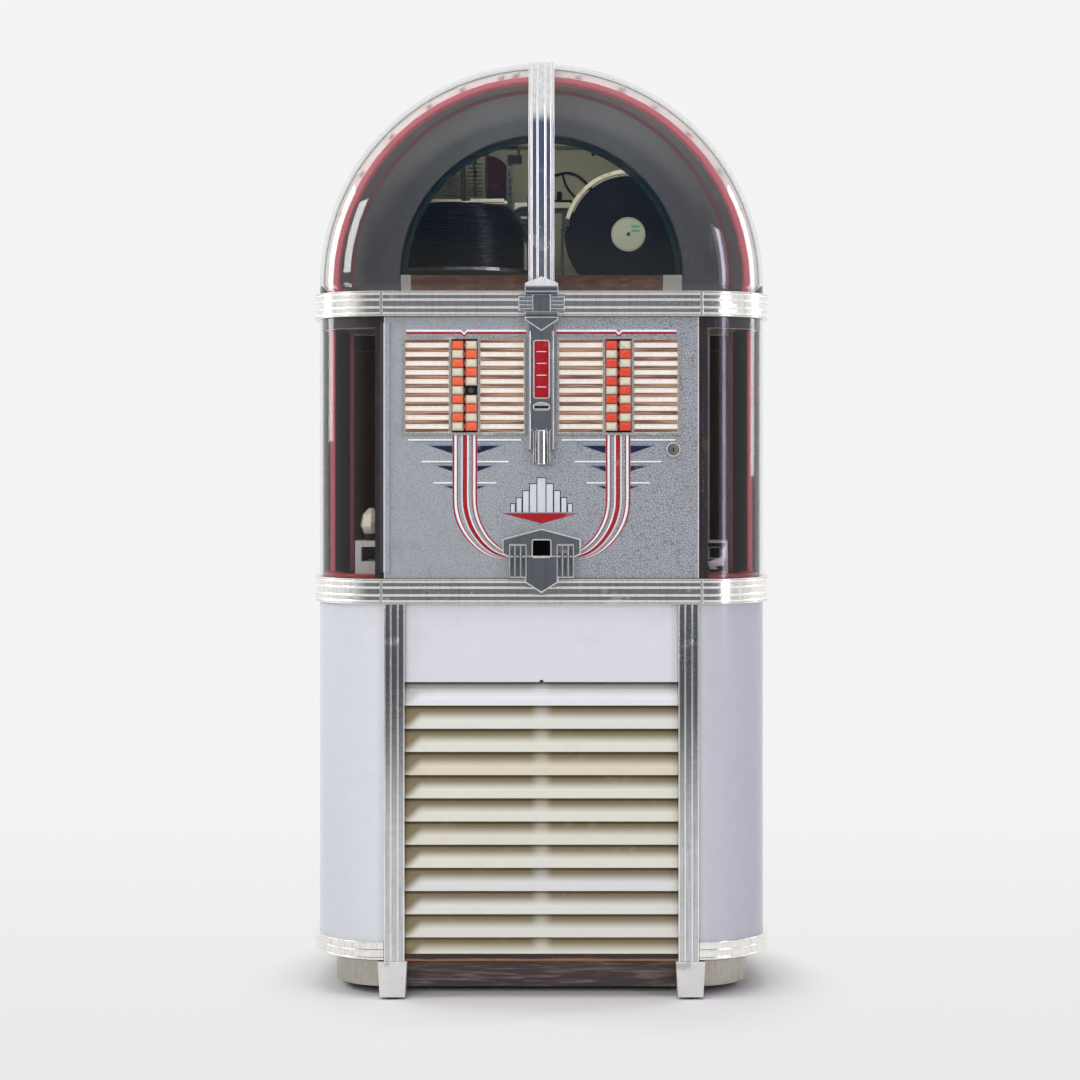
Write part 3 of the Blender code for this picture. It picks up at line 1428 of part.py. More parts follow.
def coin_column(material):
    """Upright casting with the price window, coin slot and lever guard."""
    half = COLUMN_WIDTH / 2
    back = Y_FRONT - GAP
    front = Y_FRONT - COLUMN_PROUD
    bottom = DOOR_TOP - COLUMN_DROP
    column = block((-half, front, bottom), (half, back, DOOR_TOP - BITE))
    head_low = DOOR_TOP - COLUMN_HEAD_SIDE
    head = extruded(
        [
            [
                (-COLUMN_HEAD_HALF, DOOR_TOP),
                (-COLUMN_HEAD_HALF, head_low),
                (0, DOOR_TOP - COLUMN_HEAD_DROP),
                (COLUMN_HEAD_HALF, head_low),
                (COLUMN_HEAD_HALF, DOOR_TOP),
            ]
        ],
        Y_FRONT - COLUMN_HEAD_PROUD,
        back,
        "Y",
    )
    slot_z = DOOR_TOP - SLOT_DROP
    bezel = block(
        (-SLOT_WIDTH / 2 - BEZEL_BORDER, front - BEZEL_PROUD, slot_z - SLOT_HEIGHT / 2 - BEZEL_BORDER),
        (SLOT_WIDTH / 2 + BEZEL_BORDER, front + BITE, slot_z + SLOT_HEIGHT / 2 + BEZEL_BORDER),
    )
    fins = []
    lever_half = LEVER_WIDTH / 2 + RUNNING_GAP
    fin_low = DOOR_TOP - FIN_DROP
    fin_high = LEVER_PIN_Z + LEVER_THICKNESS
    for side in (-1, 1):
        x_low, x_high = sorted((side * lever_half, side * (lever_half + FIN_THICKNESS)))
        fins.append(block((x_low, Y_FRONT - LEVER_PROUD, fin_low), (x_high, back, fin_high)))
    window_top = DOOR_TOP - WINDOW_DROP
    window = block(
        (-WINDOW_WIDTH / 2, front - OVERRUN, window_top - WINDOW_HEIGHT),
        (WINDOW_WIDTH / 2, front + WINDOW_DEPTH, window_top),
    )
    slot = block(
        (-SLOT_WIDTH / 2, front - BEZEL_PROUD - OVERRUN, slot_z - SLOT_HEIGHT / 2),
        (SLOT_WIDTH / 2, back + OVERRUN, slot_z + SLOT_HEIGHT / 2),
    )
    lever_room = block(
        (-lever_half, front - OVERRUN, bottom - OVERRUN),
        (lever_half, Y_FRONT - GAP - BITE, fin_high),
    )
    pin_bore = rod(
        (-lever_half - FIN_THICKNESS / 2, LEVER_PIN_Y, LEVER_PIN_Z),
        (lever_half + FIN_THICKNESS / 2, LEVER_PIN_Y, LEVER_PIN_Z),
        LEVER_PIN_RADIUS + GAP,
        SMALL_SIDES,
    )
    body = cut(fused(column, head, bezel), window, slot, lever_room)
    body = cut(fused(body, *fins), pin_bore)
    return finish(body, "coin_column", material)


def coin_return_lever(material):
    """Half-round finger on a cross pin between the column's two fins."""
    half = LEVER_WIDTH / 2
    outer = Y_FRONT - LEVER_PROUD
    finger = block(
        (-half, outer, LEVER_PIN_Z - LEVER_LENGTH),
        (half, Y_FRONT - LEVER_STANDOFF, LEVER_PIN_Z + LEVER_THICKNESS / 2),
    )
    pin_half = half + RUNNING_GAP + FIN_THICKNESS / 2 - GAP
    pin = rod(
        (-pin_half, LEVER_PIN_Y, LEVER_PIN_Z),
        (pin_half, LEVER_PIN_Y, LEVER_PIN_Z),
        LEVER_PIN_RADIUS,
        SMALL_SIDES,
    )
    return finish(fused(finger, pin), "coin_return_lever", material, (0, LEVER_PIN_Y, LEVER_PIN_Z))


def door_lock(material):
    """Cylinder lock through the door, its cam hanging down when it is unlocked."""
    back = Y_FRONT + DOOR_THICKNESS + LOCK_TAIL
    ring = rod((LOCK_X, Y_FRONT - LOCK_PROUD, LOCK_Z), (LOCK_X, Y_FRONT - GAP, LOCK_Z), LOCK_RING)
    barrel = rod((LOCK_X, Y_FRONT - GAP - BITE, LOCK_Z), (LOCK_X, back, LOCK_Z), LOCK_BARREL)
    cam = block(
        (LOCK_X - CAM_WIDTH / 2, back - CAM_THICKNESS, LOCK_Z - CAM_LENGTH),
        (LOCK_X + CAM_WIDTH / 2, back, LOCK_Z),
    )
    return finish(fused(ring, barrel, cam), "door_lock", material, (LOCK_X, Y_FRONT, LOCK_Z))


def payout_cup(material):
    """Casting with a square pocket, fluted blocks at its sides and a shield tip."""
    back = Y_FRONT - GAP
    front = Y_FRONT - CUP_PROUD
    z = CUP_HOLE_Z
    plate = extruded(
        [
            [
                (0, z + CUP_PEAK_RISE),
                (CUP_HALF, z + CUP_SHOULDER_RISE),
                (CUP_HALF, z - CUP_LOW_DROP + CUP_TAPER / 2),
                (CUP_HALF - CUP_TAPER, z - CUP_LOW_DROP),
                (-CUP_HALF + CUP_TAPER, z - CUP_LOW_DROP),
                (-CUP_HALF, z - CUP_LOW_DROP + CUP_TAPER / 2),
                (-CUP_HALF, z + CUP_SHOULDER_RISE),
            ]
        ],
        front,
        back,
        "Y",
    )
    band_front = Y_FRONT - BAND_PROUD - GAP
    blocks = []
    flutes = []
    for side in (-1, 1):
        x_low, x_high = sorted((side * CUP_BLOCK_IN, side * CUP_BLOCK_OUT))
        block_low = max(z - CUP_BLOCK_DROP, DOOR_BASE)
        blocks.append(
            block((x_low, Y_FRONT - CUP_SHIELD_PROUD, block_low), (x_high, back, z + CUP_BLOCK_RISE))
        )
        space = (x_high - x_low) / CUP_FLUTES
        for index in range(CUP_FLUTES):
            x = x_low + (index + 1 / 2) * space
            flutes.append(
                block(
                    (x - CUP_FLUTE_WIDTH / 2, Y_FRONT - CUP_SHIELD_PROUD - OVERRUN, block_low - OVERRUN),
                    (x + CUP_FLUTE_WIDTH / 2, Y_FRONT - CUP_SHIELD_PROUD + CUP_FLUTE_DEPTH, z),
                )
            )
    shield = extruded(
        [
            [
                (-CUP_SHIELD_HALF, z - CUP_LOW_DROP + BITE),
                (-CUP_SHIELD_HALF, z - CUP_SHIELD_DROP),
                (0, z - CUP_TIP_DROP),
                (CUP_SHIELD_HALF, z - CUP_SHIELD_DROP),
                (CUP_SHIELD_HALF, z - CUP_LOW_DROP + BITE),
            ]
        ],
        Y_FRONT - CUP_SHIELD_PROUD,
        band_front,
        "Y",
    )
    shield_root = block(
        (-CUP_SHIELD_HALF, band_front - BITE, DOOR_BASE),
        (CUP_SHIELD_HALF, back, z - CUP_LOW_DROP + BITE),
    )
    wall_x = CUP_HOLE_WIDTH / 2 + CUP_WALL
    wall_z = CUP_HOLE_HEIGHT / 2 + CUP_WALL
    pocket_back = Y_FRONT - CUP_PROUD + CUP_DEPTH
    pocket = block((-wall_x, back - BITE, z - wall_z), (wall_x, pocket_back + CUP_WALL, z + wall_z))
    hole = block(
        (-CUP_HOLE_WIDTH / 2, Y_FRONT - CUP_SHIELD_PROUD - OVERRUN, z - CUP_HOLE_HEIGHT / 2),
        (CUP_HOLE_WIDTH / 2, pocket_back, z + CUP_HOLE_HEIGHT / 2),
    )
    body = fused(plate, *blocks, shield, shield_root, pocket)
    return finish(cut(body, *flutes, hole), "payout_cup", material)


def build():
    wood = make_material("dark_wood", (0.16, 0.09, 0.06), 0.6)
    chrome = make_material("chrome", (0.62, 0.63, 0.65), 0.15, 1.0)
    nickel = make_material("nickel", (0.55, 0.53, 0.50), 0.25, 1.0)
    cast = make_material("cast_aluminium", (0.60, 0.60, 0.60), 0.35, 1.0)
    clear = make_material("clear_plastic", (0.90, 0.92, 0.92), 0.05, 0.0, 1.0)
    milky = make_material("milky_plastic", (0.72, 0.74, 0.78), 0.35)
    ivory = make_material("ivory_plastic", (0.82, 0.80, 0.70), 0.40)
    key_plastic = make_material("key_plastic", (0.85, 0.28, 0.14), 0.30)
    door_paint = make_material("crackle_paint", (0.38, 0.40, 0.42), 0.45, 0.3)
    dark_paint = make_material("dark_paint", (0.07, 0.075, 0.075), 0.5)
    hood_paint = make_material("hood_paint", (0.45, 0.45, 0.44), 0.45)
    red = make_material("red_plastic", (0.55, 0.03, 0.05), 0.3)
    machine = make_material("machine_enamel", (0.55, 0.54, 0.48), 0.45)
    cream = make_material("cream_enamel", (0.72, 0.70, 0.60), 0.4)
    shellac = make_material("black_shellac", (0.02, 0.02, 0.02), 0.25)
    paper = make_material("cone_paper", (0.06, 0.055, 0.05), 0.9)
    steel = make_material("steel", (0.45, 0.45, 0.46), 0.35, 1.0)

    cabinet_carcase(wood)
    base_skirt(nickel)
    front_foot(-1, cast)
    front_foot(1, cast)
    corner_panels(milky)
    side_windows(clear)
    bottom_bands(chrome)
    lower_band(chrome)
    pilaster(-1, chrome)
    pilaster(1, chrome)
    upper_light_panel(milky)
    louvre_grille(ivory)
    rear_cover(wood)
    speaker(paper)
    amplifier(steel)
    mechanism_bed(machine)
    drive_motor(steel)
    magazine_rack(steel)
    record_stack(shellac)
    held_record(shellac)
    gripper_bow(cream)
    turntable(steel)
    tonearm(cream)
    lid_hood(hood_paint)
    lid_band(chrome)
    clear_dome(clear)
    center_strip(chrome)
    arch_panel(dark_paint)
    arch_light_strip(red)
    door_panel(door_paint)
    coin_column(chrome)
    coin_return_lever(chrome)
    door_lock(nickel)
    payout_cup(chrome)
    for side in (-1, 1):
        title_rack(side, chrome)
        for row in range(ROWS):
            selection_key(side, row, key_plastic)


build()
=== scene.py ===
import json
import math

import bmesh
import bpy
from mathutils import Matrix, Vector

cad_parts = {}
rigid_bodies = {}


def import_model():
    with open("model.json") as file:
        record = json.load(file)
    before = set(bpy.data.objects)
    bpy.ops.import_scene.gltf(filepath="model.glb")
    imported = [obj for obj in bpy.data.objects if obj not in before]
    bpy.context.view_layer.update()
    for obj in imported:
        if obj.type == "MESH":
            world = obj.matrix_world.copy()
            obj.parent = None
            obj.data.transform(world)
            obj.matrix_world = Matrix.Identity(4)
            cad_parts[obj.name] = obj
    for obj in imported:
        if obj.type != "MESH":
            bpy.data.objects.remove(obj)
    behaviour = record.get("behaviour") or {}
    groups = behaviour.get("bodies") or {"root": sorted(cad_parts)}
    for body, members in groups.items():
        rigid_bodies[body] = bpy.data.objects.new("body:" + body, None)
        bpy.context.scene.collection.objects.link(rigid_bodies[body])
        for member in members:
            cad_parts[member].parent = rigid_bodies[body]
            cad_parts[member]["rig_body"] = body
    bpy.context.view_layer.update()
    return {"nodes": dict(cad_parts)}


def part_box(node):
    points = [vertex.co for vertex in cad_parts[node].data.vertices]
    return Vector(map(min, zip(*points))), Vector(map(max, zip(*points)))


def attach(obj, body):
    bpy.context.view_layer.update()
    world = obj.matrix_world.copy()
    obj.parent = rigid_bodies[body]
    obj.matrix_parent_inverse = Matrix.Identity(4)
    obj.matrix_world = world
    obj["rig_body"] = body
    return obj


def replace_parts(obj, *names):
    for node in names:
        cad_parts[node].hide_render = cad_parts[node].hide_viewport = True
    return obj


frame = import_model()
nodes = frame["nodes"]
sceneObjects = bpy.context.scene.collection.objects
print("frame loaded")

# Places of the cabinet that the pieces below are set against, in metres
cabinet = {
    "front": -0.32565,
    "cornerY": -0.20365,
    "rear": 0.33435,
    "half": 0.400,
    "cornerRadius": 0.122,
    "floorBase": 0.0673,
    "floorTop": 0.0790,
    "lidBandTop": 1.2428,
    "archZ": 1.2598,
    "hoodFront": -0.19335,
}
front = cabinet["front"]

# Camera: level, in front of the door, about four metres away
view = {"distance": 4.0, "eyeHeight": 0.9635, "aside": -0.0026, "lens": 75.97, "shiftY": -0.0833}
cameraData = bpy.data.cameras.new("photoCamera")
cameraData.lens = view["lens"]
cameraData.sensor_width = 36
cameraData.shift_y = view["shiftY"]
camera = bpy.data.objects.new("photoCamera", cameraData)
camera.location = (view["aside"], front - view["distance"], view["eyeHeight"])
camera.rotation_euler = (math.radians(90), 0, 0)
sceneObjects.link(camera)
bpy.context.scene.camera = camera
print("camera placed")


def isSocket(value):
    return isinstance(value, bpy.types.NodeSocket)


def light(color):
    # a colour as shares of light; levels up to 255 are as seen on a screen
    if max(color) <= 1:
        return color
    shares = [level / 255 for level in color]
    return tuple(share / 12.92 if share <= 0.04045 else ((share + 0.055) / 1.055) ** 2.4 for share in shares)


class NodeSketch:
    # adds shader nodes and wires them in one call
    def __init__(self, tree):
        self.tree = tree

    def fill(self, node, inputs):
        for name, value in inputs.items():
            if isSocket(value):
                self.tree.links.new(value, node.inputs[name])
            else:
                node.inputs[name].default_value = value
        return node

    def add(self, kind, inputs=None, **settings):
        node = self.tree.nodes.new("ShaderNode" + kind)
        for key, value in settings.items():
            setattr(node, key, value)
        return self.fill(node, inputs or {})

    def math(self, operation, a, b=0.0, clamp=False):
        return self.add("Math", {0: a, 1: b}, operation=operation, use_clamp=clamp).outputs[0]

    def plus(self, a, b):
        return self.math("ADD", a, b)

    def minus(self, a, b):
        return self.math("SUBTRACT", a, b)

    def times(self, a, b, clamp=False):
        return self.math("MULTIPLY", a, b, clamp)

    def larger(self, a, b):
        return self.math("MAXIMUM", a, b)

    def unsigned(self, a):
        return self.math("ABSOLUTE", a)

    def vector(self, operation, a, b=(0, 0, 0)):
        return self.add("VectorMath", {0: a, 1: b}, operation=operation)

    def noise(self, place, scale, detail, **more):
        return self.add("TexNoise", {"Vector": place, "Scale": scale, "Detail": detail, **more}).outputs[0]

    def mix(self, factor, a, b):
        a, b = [value if isSocket(value) else (*light(value), 1) for value in (a, b)]
        return self.add("Mix", {0: factor, 6: a, 7: b}, data_type="RGBA").outputs[2]

    def ramp(self, value, low, high, newLow=0.0, newHigh=1.0):
        inputs = {0: value, 1: low, 2: high, 3: newLow, 4: newHigh}
        return self.add("MapRange", inputs, interpolation_type="SMOOTHSTEP").outputs[0]

    def group(self, tree, **inputs):
        return self.fill(self.add("Group", node_tree=tree), inputs).outputs

    def bounces(self):
        # the light path's outputs, and 1 on what mirrors and clear pieces see
        path = self.add("LightPath").outputs
        return path, self.larger(path["Is Glossy Ray"], path["Is Transmission Ray"])


# Shared effects, each a node group; each function returns the group's outputs
def zoneMask(sketch, source):
    # 1 where Value lies between Low and High
    above = sketch.math("GREATER_THAN", source["Value"], source["Low"])
    return [sketch.times(above, sketch.math("LESS_THAN", source["Value"], source["High"]))]


def mottled(sketch, source):
    # uneven tone, large and small
    large = sketch.noise(source["Vector"], source["Scale"], 3.0)
    small = sketch.noise(source["Vector"], sketch.times(source["Scale"], 9.0), 2.0)
    tone = sketch.minus(sketch.plus(large, small), 1.0)
    gain = sketch.plus(sketch.times(tone, source["Amount"]), 1.0)
    return [sketch.vector("MULTIPLY", source["Color"], gain).outputs[0]]


def handled(sketch, source):
    # thin scratches in several directions and small worn spots
    lines = []
    for turn, stretch in ((0.6, (1, 1, 14)), (-0.4, (12, 1, 1))):
        inputs = {"Vector": source["Vector"], "Rotation": (0, turn, turn / 2), "Scale": stretch}
        noise = sketch.noise(sketch.add("Mapping", inputs).outputs[0], source["Scale"], 2.0)
        lines.append(sketch.ramp(sketch.unsigned(sketch.minus(noise, 0.5)), 0.0, 0.010, 1.0, 0.0))
    spots = sketch.ramp(sketch.noise(source["Vector"], source["Scale"], 5.0), 0.60, 0.70)
    breaks = sketch.ramp(sketch.noise(source["Vector"], 7.0, 1.0), 0.48, 0.62)
    scratches = sketch.times(sketch.larger(*lines), breaks)
    return [sketch.times(sketch.larger(scratches, spots), source["Amount"], clamp=True)]


def grained(sketch, source):
    # small even roughness for castings, paint and moulded plastic
    return [sketch.plus(*(sketch.noise(source["Vector"], source[k], d) for k, d in (("Scale", 2.0), ("Soft", 1.0))))]


def pitted(sketch, source):
    # corroded plating: dense dark pits in clouds
    cells = sketch.add("TexVoronoi", {"Vector": source["Vector"], "Scale": source["Scale"]})
    pits = sketch.ramp(cells.outputs["Distance"], 0.16, 0.34, 1.0, 0.0)
    clouds = sketch.noise(source["Vector"], 55.0, 4.0)
    low = sketch.minus(0.78, sketch.times(source["Amount"], 0.5))
    return [sketch.times(pits, sketch.math("GREATER_THAN", clouds, low))]


def crackled(sketch, source):
    # wrinkled paint: rounded cells with thin dark joints
    warp = sketch.add("TexNoise", {"Vector": source["Vector"], "Scale": 220.0, "Detail": 2.0})
    bent = sketch.vector("MULTIPLY", warp.outputs["Color"], (0.0022, 0.0022, 0.0022))
    inputs = {"Vector": sketch.vector("ADD", source["Vector"], bent.outputs[0]).outputs[0], "Scale": source["Scale"]}
    joints = sketch.add("TexVoronoi", inputs, feature="DISTANCE_TO_EDGE").outputs[0]
    return [sketch.ramp(joints, 0.02, 0.16, 1.0, 0.0), sketch.ramp(joints, 0.0, 0.3)]


def veined(sketch, source):
    # wood: long streaks along Z with finer pores
    long = sketch.add("Mapping", {"Vector": source["Vector"], "Scale": (1, 1, 0.06)}).outputs[0]
    pores = sketch.noise(long, sketch.times(source["Scale"], 12.0), 3.0)
    return [sketch.noise(long, source["Scale"], 4.0, Distortion=0.6), sketch.ramp(pores, 0.42, 0.60)]


def grooved(sketch, source):
    # distance from a disc's axis and the fine rings of its grooves
    squares = [sketch.times(source[name], source[name]) for name in ("Across", "Along")]
    radius = sketch.math("SQRT", sketch.plus(*squares))
    wave, bands = [sketch.math("SINE", sketch.times(radius, scale)) for scale in (source["Scale"], 330.0)]
    return [radius, sketch.plus(wave, sketch.times(bands, 1.5))]


def effect(name, build, outputs, **inputs):
    # inputs: None is a vector, four numbers are a colour
    tree = bpy.data.node_groups.new(name, "ShaderNodeTree")
    for label, value in inputs.items():
        kind = "Vector" if value is None else "Color" if isinstance(value, tuple) else "Float"
        socket = tree.interface.new_socket(label, in_out="INPUT", socket_type="NodeSocket" + kind)
        if value is not None:
            socket.default_value = value
    for label in outputs:
        kind = "Color" if label == "Color" else "Float"
        tree.interface.new_socket(label, in_out="OUTPUT", socket_type="NodeSocket" + kind)
    source = tree.nodes.new("NodeGroupInput").outputs
    target = tree.nodes.new("NodeGroupOutput").inputs
    for label, result in zip(outputs, build(NodeSketch(tree), source)):
        tree.links.new(result, target[label])
    return tree


zone = effect("zone", zoneMask, ["Mask"], Value=0.0, Low=0.0, High=1.0)
mottle = effect("mottle", mottled, ["Color"], Vector=None, Color=(0.5, 0.5, 0.5, 1), Scale=12.0, Amount=0.1)
handlingWear = effect("handlingWear", handled, ["Mask"], Vector=None, Scale=20.0, Amount=0.5)
fineGrain = effect("fineGrain", grained, ["Height"], Vector=None, Scale=400.0, Soft=60.0)
pitting = effect("pitting", pitted, ["Mask"], Vector=None, Scale=260.0, Amount=0.5)
crackle = effect("crackle", crackled, ["Joints", "Height"], Vector=None, Scale=300.0)
woodGrain = effect("woodGrain", veined, ["Streak", "Pores"], Vector=None, Scale=30.0)
discGrooves = effect("discGrooves", grooved, ["Radius", "Height"], Across=0.0, Along=0.0, Scale=1500.0)
print("effects built")


class Finish(NodeSketch):
    # a material being built: its shader and where its surface lies
    def __init__(self, name, color, roughness, metallic=0.0, coat=0.0, slot="steel"):
        self.material = bpy.data.materials.new(name)
        self.material.use_nodes = True
        super().__init__(self.material.node_tree)
        self.shader = self.tree.nodes["Principled BSDF"]
        self.shader.inputs["Coat Weight"].default_value = coat
        self.place = self.add("TexCoord").outputs["Object"]
        self.x, self.y, self.z = self.add("SeparateXYZ", {0: self.place}).outputs
        self.color = light(color)
        self.roughness = roughness
        self.metallic = metallic
        self.height = None

    def on(self, tree, **inputs):
        return self.group(tree, Vector=self.place, **inputs)

    def along(self, *stretch):
        return self.add("Mapping", {"Vector": self.place, "Scale": stretch}).outputs[0]

    def tint(self, scale, amount):
        color = self.color if isSocket(self.color) else (*self.color, 1)
        self.color = self.on(mottle, Color=color, Scale=scale, Amount=amount)["Color"]

    def cover(self, mask, color, roughness=None, metallic=None):
        # another colour, and with it another gloss, where the mask is 1
        self.color = self.mix(mask, self.color, color)
        if roughness is not None:
            self.roughness = self.blend(mask, self.roughness, roughness)
        if metallic is not None:
            self.metallic = self.blend(mask, self.metallic, metallic)

    def blend(self, mask, a, b):
        return self.add("Mix", {0: mask, 2: a, 3: b}, data_type="FLOAT").outputs[0]

    def wear(self, scale, amount, color, roughness=None):
        self.cover(self.on(handlingWear, Scale=scale, Amount=amount)["Mask"], color, roughness)

    def grain(self, scale, soft, depth):
        self.raised(self.on(fineGrain, Scale=scale, Soft=soft)["Height"], depth)

    def raised(self, height, depth):
        self.height, self.depth = height, depth

    def band(self, axis, low, high):
        return self.group(zone, Value=axis, Low=low, High=high)["Mask"]

    def done(self, tint=None, wear=None, grain=None):
        for step, values in ((self.tint, tint), (self.wear, wear), (self.grain, grain)):
            if values:
                step(*values)
        color = self.color if isSocket(self.color) else (*self.color, 1)
        self.fill(self.shader, {"Base Color": color, "Roughness": self.roughness, "Metallic": self.metallic})
        if self.height is not None:
            bump = self.add("Bump", {"Strength": 1.0, "Distance": self.depth, "Height": self.height})
            self.fill(self.shader, {"Normal": bump.outputs[0]})
        return self.material

    def surface(self, mask, other):
        # another shader where the mask is 1
        mixed = self.add("MixShader", {0: mask, 1: self.shader.outputs[0], 2: other.outputs[0]})
        self.fill(self.tree.nodes["Material Output"], {"Surface": mixed.outputs[0]})


# Finishes
def plated(name, color, roughness, scratches=0.5, haze=0.10, slot="chrome", pits=None):
    # polished or brushed plating: cloudy patches, fine upright streaks, handling marks and pits
    finish = Finish(name, color, roughness, 1.0, slot=slot)
    finish.tint(9.0, haze)
    streaks = finish.noise(finish.along(1, 1, 0.05), 240.0, 3.0)
    finish.cover(finish.ramp(streaks, 0.50, 0.66, 0.0, 0.45), [level * 0.72 for level in color])
    finish.wear(26.0, scratches, [min(1, level * 1.1) for level in color], roughness + 0.25)
    finish.grain(120.0, 14.0, 0.00004)
    if pits:
        scale, dark = pits
        finish.cover(finish.on(pitting, Scale=scale, Amount=1.0)["Mask"], dark, 0.7, 0.2)
    return finish


def makeWornChrome():
    # title racks: pitted plating in front, brown painted holders behind
    finish = plated("wornChrome", (0.80, 0.79, 0.75), 0.42, 0.6, pits=(330.0, (0.06, 0.05, 0.04)))
    away = finish.unsigned(finish.x)
    windows = finish.plus(finish.band(away, 0.0300, 0.1084), finish.band(away, 0.1616, 0.2400))
    windows = finish.times(windows, finish.band(finish.z, 0.9960, 1.1560))
    behind = finish.larger(finish.band(finish.y, front + 0.0016, front + 0.1), windows)
    streaks = finish.noise(finish.along(0.05, 1, 1), 260.0, 3.0)
    brown = finish.mix(finish.ramp(streaks, 0.36, 0.64), (0.13, 0.075, 0.045), (0.40, 0.27, 0.17))
    finish.cover(behind, brown, 0.45, 0.0)
    return finish.done()


def makeCastAluminium():
    finish = Finish("castAluminium", (0.80, 0.79, 0.77), 0.48, 0.6, slot="cast_aluminium")
    finish.tint(30.0, 0.18)
    finish.wear(40.0, 0.5, (0.35, 0.34, 0.33), 0.6)
    # dark glides under the feet
    finish.cover(finish.band(finish.z, -0.001, 0.0042), (0.015, 0.015, 0.015), 0.6, 0.0)
    return finish.done(grain=(900.0, 90.0, 0.0003))


def makeMilky():
    # light-diffusing plastic, a little bluer and darker low down and round the corners; painted shade darkens the
    # right-hand corner, where less light falls
    finish = Finish("milkyPlastic", (218, 220, 224), 0.20, coat=0.2, slot="milky_plastic")
    finish.cover(finish.times(finish.ramp(finish.z, 0.05, 0.70, 1.0, 0.0), 0.3), (198, 202, 212))
    finish.cover(finish.times(finish.ramp(finish.unsigned(finish.x), 0.27, 0.385), 0.75), (196, 199, 208))
    # painted shade on the right-hand corner
    finish.cover(finish.times(finish.ramp(finish.x, 0.24, 0.30), 0.55), (176, 178, 188))
    return finish.done((5.0, 0.05), (18.0, 0.12, (190, 190, 188), 0.4), (60.0, 6.0, 0.00008))


def makeIvorySlats():
    # aged plastic: the top slat whiter, the fourth yellower than the others; painted shade under each slat's lip
    look = {
        "top": 0.5557, "pitch": 0.0407, "color": (222, 221, 208), "shade": (128, 114, 82),
        "rows": {1: (225, 227, 229), 2: (220, 221, 211), 4: (217, 212, 188), 7: (219, 217, 204),
                 9: (218, 219, 216), 10: (221, 221, 215), 11: (217, 217, 206)},
    }
    finish = Finish("ivoryPlastic", look["color"], 0.24, coat=0.3, slot="ivory_plastic")
    for row, color in look["rows"].items():
        high = look["top"] - (row - 1) * look["pitch"]
        finish.cover(finish.band(finish.z, high - look["pitch"], high), color)
    drop = finish.minus(look["top"] + 10 * look["pitch"], finish.z)
    share = finish.math("FRACT", finish.math("DIVIDE", drop, look["pitch"]))
    # painted shade under each slat's lip: it reaches lower at the left end, is lighter across the middle and weaker on
    # the top slat, with a painted dark corner at the top of the right end
    reach = finish.minus(share, finish.ramp(finish.x, -0.208, -0.240, 0.0, 0.46))
    litMiddle = finish.ramp(finish.unsigned(finish.x), 0.002, 0.022, 0.6, 1.0)
    shade = finish.times(finish.ramp(reach, 0.20, 0.72, 1.0, 0.0), litMiddle)
    edge = finish.times(finish.ramp(finish.x, 0.220, 0.238, 0.0, 0.5), finish.ramp(share, 0.1, 0.5, 1.0, 0.0))
    first = finish.band(finish.z, look["top"] - look["pitch"], look["top"])
    shade = finish.times(shade, finish.minus(1.0, finish.times(first, 0.55)))
    finish.cover(finish.larger(shade, edge), look["shade"])
    return finish.done((7.0, 0.05), (14.0, 0.15, (196, 186, 160), 0.42), (90.0, 10.0, 0.00008))


def makeCracklePaint():
    look = {"paint": (168, 172, 177), "joint": (118, 122, 128), "edge": (214, 216, 216), "hinge": (50, 51, 54)}
    finish = Finish("cracklePaint", look["paint"], 0.42, 0.25, coat=0.2, slot="crackle_paint")
    marks = finish.on(crackle, Scale=205.0)
    strength = finish.ramp(finish.x, -0.30, 0.28, 0.40, 0.95)
    finish.cover(finish.times(marks["Joints"], strength), look["joint"], 0.55)
    finish.tint(9.0, 0.12)
    finish.wear(22.0, 0.3, (138, 138, 136), 0.6)
    # painted highlight along the door's side edges
    finish.cover(finish.band(finish.unsigned(finish.x), 0.2743, 0.29), look["edge"], 0.3)
    # painted shade over the hinge barrel, so it reads as the dark gap beside the door
    finish.cover(finish.band(finish.x, -0.2860, -0.2772), look["hinge"], 0.6)
    finish.raised(marks["Height"], 0.0004)
    return finish.done()


def makeClearPlastic(name, tone, roughness=0.02, refraction=1.42):
    # see-through moulding; it lets light fall on what is behind it
    finish = Finish(name, tone, roughness, slot="clear_plastic")
    finish.fill(finish.shader, {"Transmission Weight": 1.0, "IOR": refraction})
    hazes = finish.on(handlingWear, Scale=9.0, Amount=0.5)["Mask"]
    finish.roughness = finish.blend(hazes, roughness, 0.10)
    material = finish.done(grain=(16.0, 5.0, 0.00005))
    path = finish.add("LightPath").outputs
    passing = finish.larger(path["Is Shadow Ray"], path["Is Diffuse Ray"])
    finish.surface(passing, finish.add("BsdfTransparent", {"Color": (*tone, 1)}))
    return material


def makeTintedPane(name, color, cover):
    # thin flat glass that darkens or tints what is seen through it
    finish = Finish(name, color, 0.06, slot="clear_plastic")
    finish.shader.inputs["Alpha"].default_value = cover
    return finish.done((6.0, 0.2), (14.0, 0.3, (70, 76, 74), 0.3))


def makeRedPlastic():
    # rosy in front where light comes through it, with painted shade making it a deeper red behind, and a faint painted
    # glow though no lamp lights it
    finish = Finish("redPlastic", (206, 78, 86), 0.26, coat=0.3, slot="red_plastic")
    finish.tint(12.0, 0.12)
    # painted shade: deeper red on the strip's parts behind its front
    deep = finish.times(finish.band(finish.y, -0.235, -0.15), finish.band(finish.z, 1.2, 1.7))
    finish.cover(finish.times(deep, 0.6), (128, 38, 52))
    # painted glow, though no lamp is behind the strip
    finish.fill(finish.shader, {"Emission Color": (0.55, 0.08, 0.10, 1), "Emission Strength": 0.22})
    return finish.done(wear=(18.0, 0.35, (140, 56, 62), 0.5), grain=(80.0, 20.0, 0.0002))


